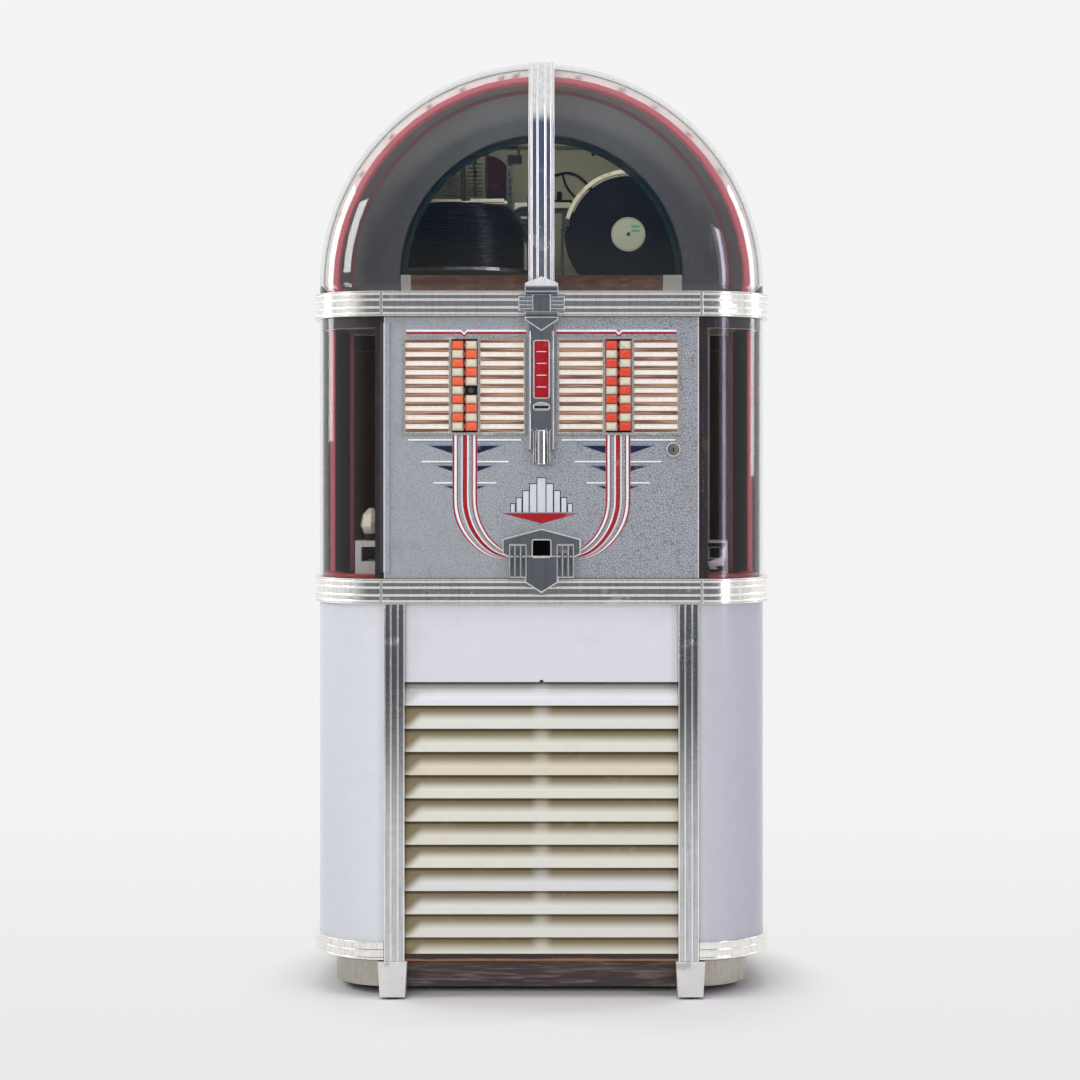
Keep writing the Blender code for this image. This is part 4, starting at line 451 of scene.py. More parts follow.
def makeDarkPaint():
    # grey panel round the view, painted paler towards the top, where more light falls on it
    finish = Finish("darkPaint", (62, 63, 64), 0.5, slot="dark_paint")
    finish.cover(finish.times(finish.ramp(finish.z, 1.40, 1.64), 0.7), (104, 108, 107))
    return finish.done((5.0, 0.25), (16.0, 0.5, (98, 98, 94), 0.65), (500.0, 40.0, 0.0002))


def makeHoodPaint():
    # pale enamel outside, duller cream board inside
    finish = Finish("hoodPaint", (230, 228, 222), 0.35, coat=0.2, slot="hood_paint")
    distance = finish.group(discGrooves, Across=finish.x, Along=finish.minus(finish.z, cabinet["archZ"]))
    within = finish.math("LESS_THAN", distance["Radius"], 0.3895)
    finish.cover(finish.times(finish.band(finish.y, -0.18, 0.3255), within), (158, 156, 136), 0.6)
    return finish.done((6.0, 0.12), (30.0, 0.2, (176, 172, 160), 0.6), (300.0, 25.0, 0.0003))


def makeCabinetWood():
    # dark stained plywood, with the bare layers of the floor board's edge under a painted shadow line, and painted
    # shade inside the cabinet
    look = {
        "dark": (48, 30, 27), "light": (88, 56, 46), "pores": (26, 14, 12), "inside": (30, 24, 27),
        "edgeDark": (38, 30, 30), "edgeLight": (156, 100, 64),
        "plinthDark": (60, 48, 47), "plinthLight": (122, 108, 103),
    }
    base, top = cabinet["floorBase"], cabinet["floorTop"]
    finish = Finish("cabinetWood", look["dark"], 0.42, coat=0.2, slot="cabinet_wood")
    grain = finish.on(woodGrain, Scale=34.0)
    finish.cover(finish.ramp(grain["Streak"], 0.35, 0.65), look["light"])
    finish.cover(finish.times(grain["Pores"], 0.45), look["pores"], 0.6)
    # the plinth's grain runs level, with a painted sheen towards its top
    lines = finish.noise(finish.along(0.07, 1, 1), 190.0, 5.0, Distortion=0.4)
    grainAndTopSheen = finish.plus(finish.ramp(lines, 0.44, 0.72), finish.ramp(finish.z, 0.02, 0.07, 0.0, 0.25))
    plinth = finish.mix(grainAndTopSheen, look["plinthDark"], look["plinthLight"])
    finish.cover(finish.band(finish.z, -0.01, base - 0.001), plinth, 0.5)
    # painted shade over the inside of the cabinet, seen through the side windows
    within = finish.times(finish.band(finish.z, 0.735, 1.1975), finish.band(finish.y, front, 0.32))
    finish.cover(finish.times(within, finish.band(finish.x, -0.398, 0.398)), look["inside"], 0.7)
    # painted shadow along the top of the floor board's edge, over its bare layers
    board = finish.times(finish.band(finish.z, base - 0.001, top + 0.001), finish.band(finish.y, -0.40, front + 0.02))
    ragged = finish.plus(finish.z, finish.times(finish.minus(lines, 0.5), 0.006))
    layers = finish.ramp(ragged, base + 0.0015, base + 0.0050, 1.0, 0.0)
    finish.cover(board, finish.mix(layers, look["edgeDark"], look["edgeLight"]), 0.7)
    finish.raised(grain["Pores"], 0.0002)
    return finish.done((6.0, 0.2), (18.0, 0.4, (110, 74, 56), 0.6))


def makeShellac(name, axes, centre):
    # black record; axes are the two directions across the disc
    finish = Finish(name, (0.006, 0.007, 0.011), 0.30, slot="record_shellac")
    across, along = [finish.minus(getattr(finish, axis), middle) for axis, middle in zip(axes, centre)]
    finish.raised(finish.group(discGrooves, Across=across, Along=along)["Height"], 0.00006)
    return finish.done((20.0, 0.3), (24.0, 0.25, (0.022, 0.023, 0.028), 0.5))


def makeEnamel(name, color, chip, rough=0.35, slot="machine_enamel"):
    finish = Finish(name, color, rough, coat=0.2, slot=slot)
    return finish.done((10.0, 0.15), (28.0, 0.6, chip, 0.6), (600.0, 70.0, 0.0002))


def makeKeyCaps(name, splitX, leftColor, rightColor):
    # a row's two moulded caps, side by side, with painted shade on their slopes
    finish = Finish(name, rightColor, 0.22, coat=0.4, slot="key_plastic")
    finish.cover(finish.math("LESS_THAN", finish.x, splitX), leftColor)
    # painted shade towards the back of each cap's slopes
    finish.cover(finish.ramp(finish.y, -0.33145, -0.3298, 0.0, 0.42), (142, 52, 26), 0.3)
    return finish.done((110.0, 0.12), (60.0, 0.45, (150, 120, 96), 0.5), (500.0, 100.0, 0.0001))


def makePaint(name, color, amount=0.25):
    finish = Finish(name, color, 0.38, coat=0.1, slot="crackle_paint")
    finish.raised(finish.on(crackle, Scale=290.0)["Height"], 0.0002)
    return finish.done((30.0, 0.12), (48.0, amount, (160, 164, 168), 0.45))


def makePaper():
    # title strips: off-white card with faint ruled lines
    look = {"base": 1.147575, "pitch": 0.01585, "card": (244, 238, 228), "rule": (176, 150, 130)}
    finish = Finish("titleCard", look["card"], 0.55, slot="milky_plastic")
    offset = finish.minus(finish.z, look["base"] - 9.5 * look["pitch"])
    share = finish.math("FRACT", finish.math("DIVIDE", offset, look["pitch"]))
    shown = finish.ramp(finish.noise(finish.place, 140.0, 1.0), 0.40, 0.55)
    for low, high, strength in ((0.60, 0.66, 0.5), (0.38, 0.42, 0.35)):
        line = finish.times(finish.band(share, low, high), shown)
        finish.cover(finish.times(line, strength), look["rule"])
    return finish.done((25.0, 0.08), grain=(900.0, 80.0, 0.0002))


def makeRubber(name, color, rough=0.7, slot="dark_paint"):
    finish = Finish(name, color, rough, slot=slot)
    worn = [level + 0.03 for level in light(color)]
    return finish.done((50.0, 0.3), (30.0, 0.4, worn, rough), (700.0, 90.0, 0.0003))


ivory = (214, 209, 186)
orange = (236, 96, 50)
scarlet = (222, 66, 38)
chrome = plated("chrome", (0.76, 0.775, 0.80), 0.12, 0.7, 0.3).done()
darkChrome = plated("darkChrome", (0.58, 0.595, 0.62), 0.12, 0.7, 0.3).done()
bandChrome = plated("bandChrome", (0.94, 0.92, 0.88), 0.12, 0.7, 0.16).done()
# ribs and rims, rubbed duller than the flat plating
rimChrome = plated("rimChrome", (0.97, 0.96, 0.93), 0.34, 0.4, 0.06).done()
frameChrome = plated("frameChrome", (0.93, 0.92, 0.88), 0.36, pits=(260.0, (0.08, 0.07, 0.06))).done()
nickel = plated("nickel", (0.47, 0.44, 0.385), 0.33, 0.8, 0.35, "nickel").done()
platedSteel = plated("platedSteel", (0.40, 0.40, 0.40), 0.34, 0.8, 0.3, "steel").done()
wornChrome = makeWornChrome()
castAluminium = makeCastAluminium()
milkyPlastic = makeMilky()
ivoryPlastic = makeIvorySlats()
cracklePaint = makeCracklePaint()
clearPlastic = makeClearPlastic("clearPlastic", (0.97, 0.98, 0.985))
cornerPlastic = makeClearPlastic("cornerPlastic", (0.95, 0.94, 0.955), 0.03, 1.3)
paneGlass = makeTintedPane("paneGlass", (22, 34, 34), 0.06)
tealEdge = makeTintedPane("tealEdge", (22, 46, 50), 0.80)
redPlastic = makeRedPlastic()
darkPaint = makeDarkPaint()
hoodPaint = makeHoodPaint()
cabinetWood = makeCabinetWood()
hardboard = Finish("hardboard", (88, 66, 50), 0.75, slot="cabinet_wood").done(
    (60.0, 0.3), (46.0, 0.25, (108, 84, 66), 0.8), (700.0, 120.0, 0.0005))
creamEnamel = makeEnamel("creamEnamel", (208, 202, 180), (130, 122, 106), slot="cream_enamel")
machineEnamel = makeEnamel("machineEnamel", (196, 196, 190), (110, 106, 98))
coneFelt = makeRubber("coneFelt", (36, 35, 33), 0.85, "cone_paper")
darkRubber = makeRubber("darkRubber", (22, 22, 22))
titleCard = makePaper()
print("finishes built")

# meshes whose flat faces keep a flat shading beside their rounded edges
flatFaced = set()


# Shapes
def link(name, data, material, body):
    piece = bpy.data.objects.new(name, data)
    sceneObjects.link(piece)
    piece.data.materials.append(material)
    if data.name in flatFaced:
        piece.modifiers.new("flatFaces", "WEIGHTED_NORMAL").keep_sharp = True
    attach(piece, body)
    return piece


def meshFrom(bm, name, sharpAngle=35):
    flatFaced.add(name)
    mesh = bpy.data.meshes.new(name)
    bmesh.ops.recalc_face_normals(bm, faces=bm.faces)
    for face in bm.faces:
        face.smooth = True
    bm.to_mesh(mesh)
    bm.free()
    mesh.set_sharp_from_angle(angle=math.radians(sharpAngle))
    return mesh


def bevelled(bm, edges, width, segments=2):
    bmesh.ops.bevel(
        bm, geom=edges, offset=width, segments=segments, profile=0.5, affect="EDGES", clamp_overlap=True)


def softened(nodeName, width, material, name):
    # a CAD piece with its sharp edges rounded, to stand for it
    source = nodes[nodeName]
    bm = bmesh.new()
    bm.from_mesh(source.data)
    bmesh.ops.remove_doubles(bm, verts=bm.verts, dist=0.00002)
    bmesh.ops.dissolve_limit(bm, angle_limit=math.radians(0.6), verts=bm.verts, edges=bm.edges)
    limit = math.radians(28)
    edges = [edge for edge in bm.edges if edge.is_manifold and edge.is_convex and edge.calc_face_angle() > limit]
    bevelled(bm, edges, width, 3)
    for layer in list(bm.loops.layers.float_vector):
        bm.loops.layers.float_vector.remove(layer)
    mesh = meshFrom(bm, name, 40)
    for extra in [a for a in mesh.attributes if a.name.startswith("custom")]:
        mesh.attributes.remove(extra)
    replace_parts(link(name, mesh, material, source["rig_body"]), nodeName)


def plate(name, outlines, yFront, yBack, material, body, rounding=0.0):
    # a flat piece whose outlines, holes among them, are given in X and Z
    curve = bpy.data.curves.new(name, "CURVE")
    curve.dimensions = "2D"
    curve.fill_mode = "BOTH"
    for outline in outlines:
        spline = curve.splines.new("POLY")
        spline.points.add(len(outline) - 1)
        for point, (x, z) in zip(spline.points, outline):
            point.co = (x, z, 0, 1)
        spline.use_cyclic_u = True
    curve.extrude = (yBack - yFront) / 2 - rounding
    curve.bevel_depth = rounding
    curve.bevel_resolution = 2
    curve.offset = -rounding
    holder = bpy.data.objects.new(name, curve)
    sceneObjects.link(holder)
    holder.rotation_euler = (math.radians(90), 0, 0)
    holder.location = (0, (yFront + yBack) / 2, 0)
    bpy.context.view_layer.update()
    bm = bmesh.new()
    bm.from_mesh(bpy.data.meshes.new_from_object(holder.evaluated_get(bpy.context.evaluated_depsgraph_get())))
    bm.transform(holder.matrix_world)
    bpy.data.objects.remove(holder)
    bmesh.ops.remove_doubles(bm, verts=bm.verts, dist=0.000001)
    return link(name, meshFrom(bm, name), material, body)


def tube(name, points, radius, material, body):
    # a round bar or wire along smooth points
    curve = bpy.data.curves.new(name, "CURVE")
    curve.dimensions = "3D"
    spline = curve.splines.new("NURBS")
    spline.points.add(len(points) - 1)
    for point, place in zip(spline.points, points):
        point.co = (*place, 1)
    spline.order_u = 4
    spline.use_endpoint_u = True
    curve.bevel_depth = radius
    curve.bevel_resolution = 3
    curve.use_fill_caps = True
    return link(name, curve, material, body)


def roundedBox(bm, low, high, rounding):
    # adds a box with rounded edges
    low, high = Vector(low), Vector(high)
    made = bmesh.ops.create_cube(bm, size=1)["verts"]
    bmesh.ops.scale(bm, vec=high - low, verts=made)
    bmesh.ops.translate(bm, vec=(low + high) / 2, verts=made)
    bevelled(bm, list({edge for vert in made for edge in vert.link_edges}), rounding)


def boxes(name, corners, rounding, material, body):
    bm = bmesh.new()
    for low, high in corners:
        roundedBox(bm, low, high, rounding)
    return link(name, meshFrom(bm, name), material, body)


def bridge(bm, rings, ends=True):
    # faces between closed rings of places, and over the first and the last of them
    rings = [[bm.verts.new(place) for place in ring] for ring in rings]
    made = [bm.faces.new(rings[0]), bm.faces.new(rings[-1][::-1])] if ends else []
    for lower, upper in zip(rings, rings[1:]):
        for corners in zip(lower, lower[1:] + lower[:1], upper[1:] + upper[:1], upper):
            made.append(bm.faces.new(corners))
    return made


def bridged(name, rings, sharpAngle, material, body):
    bm = bmesh.new()
    bridge(bm, rings)
    return link(name, meshFrom(bm, name, sharpAngle), material, body)


def arcPoints(centre, radius, start, end, steps):
    points = []
    for step in range(steps + 1):
        angle = math.radians(start + (end - start) * step / steps)
        points.append((centre[0] + radius * math.cos(angle), centre[1] + radius * math.sin(angle)))
    return points


def turned(name, profile, centre, axis, steps, material, body):
    # a lathe shape: profile of (radius, height) pairs round an axis
    order = {"X": (2, 0, 1), "Y": (0, 2, 1), "Z": (0, 1, 2)}[axis]
    rings = []
    for radius, height in profile:
        places = [(radius * x, radius * y, height) for x, y in arcPoints((0, 0), 1, 0, 360, steps)[:-1]]
        rings.append([Vector([place[k] for k in order]) + Vector(centre) for place in places])
    bm = bmesh.new()
    bridge(bm, rings, ends=False)
    bmesh.ops.remove_doubles(bm, verts=bm.verts, dist=0.00001)
    return link(name, meshFrom(bm, name, 30), material, body)


def smoothLine(points, steps=6):
    # Catmull-Rom line through the points
    line = []
    ends = [points[0]] + list(points) + [points[-1]]
    for a, b, c, d in zip(ends, ends[1:], ends[2:], ends[3:]):
        for step in range(steps):
            t = step / steps
            line.append(tuple(
                0.5 * (2 * q + (r - p) * t + (2 * p - 5 * q + 4 * r - s) * t * t + (3 * q - p - 3 * r + s) * t ** 3)
                for p, q, r, s in zip(a, b, c, d)
            ))
    line.append(tuple(points[-1]))
    return line


def fromFront(px, py):
    # a place on the door's plane, from its place in a 1080-pixel view
    return ((px - 541.0) * 0.001755, (999 - py) * 0.001755)


def mirrored(side, a, b):
    # two distances from the middle, as low and high X on that side
    return sorted((side * a, side * b))


paintLayer = (front - 0.00025, front + 0.0006)


def paintPlate(name, outlines, material):
    return plate(name, outlines, *paintLayer, material, "door")


def ribbon(bm, left, right):
    # one painted stripe between two lines on the door
    yFront, yBack = paintLayer
    bridge(bm, [
        ((ax, yFront, az), (bx, yFront, bz), (bx, yBack, bz), (ax, yBack, az))
        for (ax, az), (bx, bz) in zip(left, right)
    ])


# Clear dome in two halves, finer than its solid
def clearDome(side, name):
    look = {"wall": 0.004, "lip": 0.010, "joint": 0.0003, "noseSteps": 20, "archSteps": 40}
    base = cabinet["lidBandTop"] + 0.0003
    flat = cabinet["half"] - cabinet["cornerRadius"]
    nose = arcPoints((flat, cabinet["cornerY"]), cabinet["cornerRadius"], -90, 0, look["noseSteps"])
    section = [(0, front)] + nose + [(cabinet["half"], cabinet["cornerY"] + look["lip"])]
    bm = bmesh.new()
    verts = [bm.verts.new((x, y, base)) for x, y in section]
    edges = [bm.edges.new(pair) for pair in zip(verts, verts[1:])]
    leg = bmesh.ops.extrude_edge_only(bm, edges=edges)["geom"]
    legVerts = [item for item in leg if isinstance(item, bmesh.types.BMVert)]
    bmesh.ops.translate(bm, vec=(0, 0, cabinet["archZ"] - base), verts=legVerts)
    legEdges = [edge for edge in bm.edges if all(vert in legVerts for vert in edge.verts)]
    bmesh.ops.spin(
        bm, geom=legVerts + legEdges, cent=(0, 0, cabinet["archZ"]), axis=(0, -1, 0),
        angle=math.pi / 2, steps=look["archSteps"])
    bmesh.ops.remove_doubles(bm, verts=bm.verts, dist=0.00001)
    everything = bm.verts[:] + bm.edges[:] + bm.faces[:]
    bmesh.ops.bisect_plane(
        bm, geom=everything, plane_co=(look["joint"], 0, 0), plane_no=(-1, 0, 0), clear_outer=True)
    if side < 0:
        bmesh.ops.scale(bm, vec=(-1, 1, 1), verts=bm.verts)
    bmesh.ops.recalc_face_normals(bm, faces=bm.faces)
    flatFace = max(bm.faces, key=lambda face: abs(face.normal.y))
    if flatFace.normal.y > 0:
        bmesh.ops.reverse_faces(bm, faces=bm.faces)
    for face in bm.faces:
        face.smooth = True
    mesh = bpy.data.meshes.new(name)
    bm.to_mesh(mesh)
    bm.free()
    piece = link(name, mesh, clearPlastic, "lid")
    wall = piece.modifiers.new("wall", "SOLIDIFY")
    wall.thickness = look["wall"]
    wall.offset = -1
    wall.use_even_offset = True
    flatter = piece.modifiers.new("flatter", "WEIGHTED_NORMAL")
    flatter.mode = "FACE_AREA"
    flatter.weight = 100
    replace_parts(piece, "dome_left" if side < 0 else "dome_right")


clearDome(-1, "domeGlassLeft")
clearDome(1, "domeGlassRight")


# Rounded corners of the cabinet, finer than their solids
def cornerLine(grow, yEnd, steps):
    # from the side wall round the right corner, that far inside the cabinet's face
    centre = (cabinet["half"] - cabinet["cornerRadius"], cabinet["cornerY"])
    return [(cabinet["half"] - grow, yEnd)] + arcPoints(centre, cabinet["cornerRadius"] - grow, 0, -90, steps)


def wallRings(side, outer, inner, low, high):
    # rings of an upright wall between two lines
    return [
        [(side * x, y, z) for x, y, z in ((ax, ay, low), (bx, by, low), (bx, by, high), (ax, ay, high))]
        for (ax, ay), (bx, by) in zip(outer, inner)
    ]


def cornerShell(name, nodeName, material, inset=0.0):
    low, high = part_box(nodeName)
    inward = min(abs(low.x), abs(high.x))
    lines = [cornerLine(grow, high.y, 28) + [(inward, front + grow)] for grow in (inset, inset + 0.0035)]
    rings = wallRings(-1 if low.x < 0 else 1, *lines, low.z, high.z)
    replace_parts(bridged(name, rings, 30, material, "cabinet"), nodeName)


for sideName in ("Left", "Right"):
    cornerShell("windowShell" + sideName, "side_window_" + sideName.lower(), cornerPlastic, 0.0002)
for sideName in ("Left", "Right"):
    cornerShell(f"cornerPanel{sideName}Fine", "corner_panel_" + sideName.lower(), milkyPlastic)
print("dome and corners built")


# Ribbed mouldings: a flat body with half-round ribs along it
def swept(name, stations, loops, sharpAngle, material, body):
    # stations: origin, outward and sideways directions; loops: closed lists of (out, side)
    bm = bmesh.new()
    stations = [[Vector(part) for part in station] for station in stations]
    for loop in loops:
        bridge(bm, [
            [origin + outward * out + sideways * side for out, side in loop] for origin, outward, sideways in stations
        ])
    return link(name, meshFrom(bm, name, sharpAngle), material, body)


def moulding(name, stations, span, depths, ribs, materials, body, nodeName):
    # depths: back, flute and rib heights; ribs: shares of the span
    low, high = span
    back, flute, proud = depths
    flat = [[(back, low), (flute, low), (flute, high), (back, high)]]
    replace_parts(swept(name, stations, flat, 35, materials[0], body), nodeName)
    root = flute - 0.0004
    loops = []
    for first, last in ribs:
        middle, half = low + (first + last) / 2 * (high - low), (last - first) / 2 * (high - low)
        arc = [(flute + y * (proud - flute), middle + x * half) for x, y in arcPoints((0, 0), 1, 0, 180, 10)]
        loops.append([(root, middle + half)] + arc + [(root, middle - half)])
    swept(name + "Ribs", stations, loops, 50, materials[1], body)


def aroundFront(yEnd):
    half, cornerY, radius = cabinet["half"], cabinet["cornerY"], cabinet["cornerRadius"]
    flat = half - radius
    right = [((flat, front), (0, -1))]
    for x, y in arcPoints((0, 0), 1, -84, -6, 13):
        right.append(((flat + radius * x, cornerY + radius * y), (x, y)))
    right += [((half, cornerY), (1, 0)), ((half, yEnd), (1, 0))]
    left = [((-x, y), (-nx, ny)) for (x, y), (nx, ny) in reversed(right)]
    return [((x, y, 0), (nx, ny, 0), (0, 0, 1)) for (x, y), (nx, ny) in left + right]


ribShares = ((0.0, 0.045), (0.062, 0.165), (0.303, 0.396), (0.604, 0.697), (0.835, 0.938), (0.955, 1.0))
# low edge, back of the flat part, rear end, body and node of each band
bandParts = {
    "lidBand": (1.1978, -0.016, 0.32205, "lid", "lid_band"),
    "lowerBand": (0.6930, 0.0003, cabinet["rear"], "cabinet", "lower_band"),
}
for name, (low, back, yEnd, body, nodeName) in bandParts.items():
    moulding(
        name + "Body", aroundFront(yEnd), (low, low + 0.0450), (back, 0.0055, 0.009), ribShares,
        (bandChrome, rimChrome), body, nodeName)
for name, (low, back, yEnd, body, nodeName) in bandParts.items():
    boxes(name + "Beads", [
        ((x - 0.0024, front - 0.0106, low + 0.0004), (x + 0.0024, front - 0.005, low + 0.0446))
        for x in (-0.281, 0.281)
    ], 0.0012, rimChrome, body)

strip = {"half": 0.0228, "skin": 0.1223, "noseZ": 1.5378, "foot": 1.2431, "rest": 0.060}
stations = [((0, cabinet["cornerY"] - strip["skin"], strip["foot"]), (0, -1, 0), (1, 0, 0))]
for y, z in arcPoints((0, 0), 1, 180, 90, 18):
    origin = (0, cabinet["cornerY"] + strip["skin"] * y, strip["noseZ"] + strip["skin"] * z)
    stations.append((origin, (0, y, z), (1, 0, 0)))
origin = (0, cabinet["cornerY"] + strip["rest"], strip["noseZ"] + strip["skin"])
stations.append((origin, (0, 0, 1), (1, 0, 0)))
moulding(
    "centreStripBody", stations, (-strip["half"], strip["half"]), (0.0, 0.0031, 0.0053), ribShares,
    (chrome, rimChrome), "lid", "center_strip")

pilaster = {
    "inner": 0.2396, "outer": 0.2765, "low": 0.0673, "high": 0.6927,
    "ribs": ((0.0, 0.09), (0.28, 0.385), (0.615, 0.72), (0.91, 1.0)),
}
for side, sideName in ((-1, "left"), (1, "right")):
    stations = [((0, front, pilaster[level]), (0, -1, 0), (side, 0, 0)) for level in ("low", "high")]
    moulding(
        "pilaster" + sideName.title(), stations, (pilaster["inner"], pilaster["outer"]), (0.0003, 0.0052, 0.0080),
        pilaster["ribs"], (darkChrome, bandChrome), "cabinet", "pilaster_" + sideName)


# Rims of the castings
def rimLine(name, points, width, yFront, body, closed=False, rounding=0.00103, thick=0.0026, material=rimChrome):
    # a rounded rim that follows the points, on their left side
    count = len(points)
    inner = []
    for index, point in enumerate(points):
        before = points[index - 1] if closed or index else None
        after = points[(index + 1) % count] if closed or index < count - 1 else None
        normals = []
        for first, second in ((before, point), (point, after)):
            if first is not None and second is not None:
                along = (Vector(second) - Vector(first)).normalized()
                normals.append(Vector((-along.y, along.x)))
        normal = sum(normals, Vector((0, 0))).normalized()
        inner.append(tuple(Vector(point) + normal * width / max(0.3, normal.dot(normals[0]))))
    outlines = [points, inner[::-1]] if closed else [list(points) + inner[::-1]]
    plate(name, outlines, yFront, yFront + thick, material, body, rounding)


# crown over the lid band: head, waist and foot, with ribbed wings
crown = {
    "front": -0.34665, "back": -0.3350, "half": 0.0292, "waist": 0.0159, "low": 1.2008, "foot": 1.2058,
    "neck": 1.2345, "brow": 1.2488, "shoulder": 1.2553, "round": 1.2572, "peak": 1.2673,
    "wing": 0.0404, "wingFront": front - 0.0163, "rib": 0.00714,
}
half, headTop = crown["half"], crown["brow"] + 0.002
head = [(-half, crown["neck"]), (half, crown["neck"]), (half, headTop), (-half, headTop)]
plate("crownHead", [head], crown["front"] + 0.0002, crown["back"], darkChrome, "lid", 0.0008)
rise = (
    (-1, 0.0, "brow"), (1, 0.0, "brow"), (1, 0.0034, "shoulder"), (0.86, 0.0042, "round"), (0, 0.0074, "peak"),
    (-0.86, 0.0042, "round"), (-1, 0.0034, "shoulder"),
)
bridged("crownRoof", [
    [(half * side, crown["front"] + 0.0001 + sink, crown[level]) for side, sink, level in rise],
    [(half * side, crown["back"], crown[level]) for side, sink, level in rise],
], 35, chrome, "lid")
rims = [((-half, crown["front"], 1.2397), (half, crown["front"] + 0.003, 1.2415))]
for side in (-1, 1):
    for edge, width, y, low, high in (
        (half, 0.0015, crown["front"], crown["neck"], crown["shoulder"]),
        (half, 0.0015, crown["front"], crown["low"], crown["foot"]),
        (crown["waist"], 0.0014, crown["front"], crown["foot"], crown["neck"]),
        (crown["wing"], 0.0016, crown["wingFront"], 1.2075, 1.2330),
    ):
        xs = mirrored(side, edge, edge - width)
        rims.append(((xs[0], y, low), (xs[1], y + 0.003, high)))
boxes("crownRims", rims, 0.0006, rimChrome, "lid")
waist = [((-crown["waist"], crown["front"] + 0.0010, crown["foot"] - 0.001),
          (crown["waist"], crown["back"], crown["neck"] + 0.001))]
boxes("crownWaist", waist, 0.0010, darkChrome, "lid")
foot = [((-half, crown["front"] + 0.0006, crown["low"]), (half, crown["back"], crown["foot"]))]
boxes("crownFoot", foot, 0.0014, darkChrome, "lid")
boxes("crownRoot", [
    ((-strip["half"], crown["back"] - 0.0004, strip["foot"]), (strip["half"], -0.3263, crown["shoulder"] - 0.001)),
    ((-crown["wing"], -0.3385, 1.2078), (crown["wing"], crown["back"], 1.2328)),
], 0.0008, chrome, "lid")
corners = []
for index in range(4):
    z = 1.2078 + index * crown["rib"]
    for side in (-1, 1):
        xs = mirrored(side, crown["waist"], crown["wing"])
        corners.append(((xs[0], front - 0.0160, z), (xs[1], crown["back"], z + crown["rib"] / 2)))
boxes("crownWings", corners, 0.0011, chrome, "lid")

# coin column: side rims, head rim, joint line and fin beads
columnFront = front - 0.0140
boxes("columnRims", [
    ((low, columnFront - 0.0005, 0.9640), (high, columnFront + 0.003, 1.1725))
    for low, high in ((-0.02195, -0.0188), (0.0178, 0.02195))
], 0.0014, rimChrome, "door")
boxes("finBeads", [
    ((side * x - 0.0008, front - 0.0164, 0.9412), (side * x + 0.0008, columnFront, 0.9970))
    for side in (-1, 1) for x in (0.0104, 0.0142)
], 0.0006, rimChrome, "door")
joint = [((-0.0188, columnFront - 0.0003, 0.9980), (0.0178, columnFront + 0.001, 0.9992))]
boxes("columnJoint", joint, 0.0004, rimChrome, "door")
head = [(-0.0292, 1.1967), (-0.0292, 1.1909), (0, 1.1713), (0.0292, 1.1909), (0.0292, 1.1967)]
rimLine("columnHeadRim", head, 0.0022, front - 0.0184, "door", True)
slot = {
    "half": 0.0148, "low": 1.0326, "cut": 0.0030, "high": 1.0475, "shoulder": 1.0398,
    "inner": 0.0124, "innerLow": 1.0362, "innerHigh": 1.0408,
}
half, low, cut = slot["half"], slot["low"], slot["cut"]
arc = [
    (x * half, slot["shoulder"] + z * (slot["high"] - slot["shoulder"])) for x, z in arcPoints((0, 0), 1, 0, 180, 20)
]
outline = [(half, low + cut)] + arc + [(-half, low + cut), (-half + cut, low), (half - cut, low)]
hole = [
    (side * slot["inner"], slot[level])
    for side, level in ((-1, "innerLow"), (1, "innerLow"), (1, "innerHigh"), (-1, "innerHigh"))
]
plate("slotPlate", [outline, hole], columnFront - 0.0040, columnFront, rimChrome, "door", 0.0010)
dark = [((-0.0130, columnFront - 0.0006, 1.0352), (0.0130, columnFront + 0.0004, 1.0418))]
boxes("slotDark", dark, 0.0002, darkRubber, "door")

# half-round coin lever
finger = {
    "half": 0.00835, "deep": 0.0060, "y": -0.33565,
    "rings": ((0.9389, 0.90), (0.9402, 1.0), (0.9962, 1.0), (0.9979, 0.82)),
}
rings = [
    [(scale * x * finger["half"], finger["y"] - scale * y * finger["deep"], z)
     for x, y in arcPoints((0, 0), 1, 0, 180, 16)]
    for z, scale in finger["rings"]
]
lever = bridged("coinLeverRound", rings, 50, bandChrome, nodes["coin_return_lever"]["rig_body"])
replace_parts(lever, "coin_return_lever")

# payout cup: rims of its plate, tip and pocket, beads on its blocks
cup = {"z": 0.7905, "half": 0.0687, "tip": 0.0290, "front": front - 0.0164, "blockFront": front - 0.0189}
half, z, tipHalf = cup["half"], cup["z"], cup["tip"]
outline = [
    (half, z + 0.0177), (0, z + 0.0358), (-half, z + 0.0177), (-half, z - 0.0090),
    (-half + 0.0110, z - 0.0145), (half - 0.0110, z - 0.0145), (half, z - 0.0090),
]
rimLine("cupRim", outline, 0.0026, cup["front"], "door", True)
tip = [
    (-tipHalf, z - 0.0480), (-tipHalf, z - 0.0585), (0, z - 0.0770), (tipHalf, z - 0.0585), (tipHalf, z - 0.0480),
]
rimLine("cupTipRim", tip, 0.0024, cup["blockFront"], "door")
beads = []
for side in (-1, 1):
    for x in (0.0272, 0.0365, 0.0465, 0.0558):
        beads.append((side * x - 0.0008, side * x + 0.0008, 0.7398, 0.7986))
    for low, high in ((0.7398, 0.7420), (0.7964, 0.7990)):
        beads.append((*mirrored(side, 0.0264, 0.0568), low, high))
boxes("cupBeads", [
    ((left, cup["blockFront"], low), (right, cup["blockFront"] + 0.002, high)) for left, right, low, high in beads
], 0.0006, rimChrome, "door")
print("mouldings and rims built")

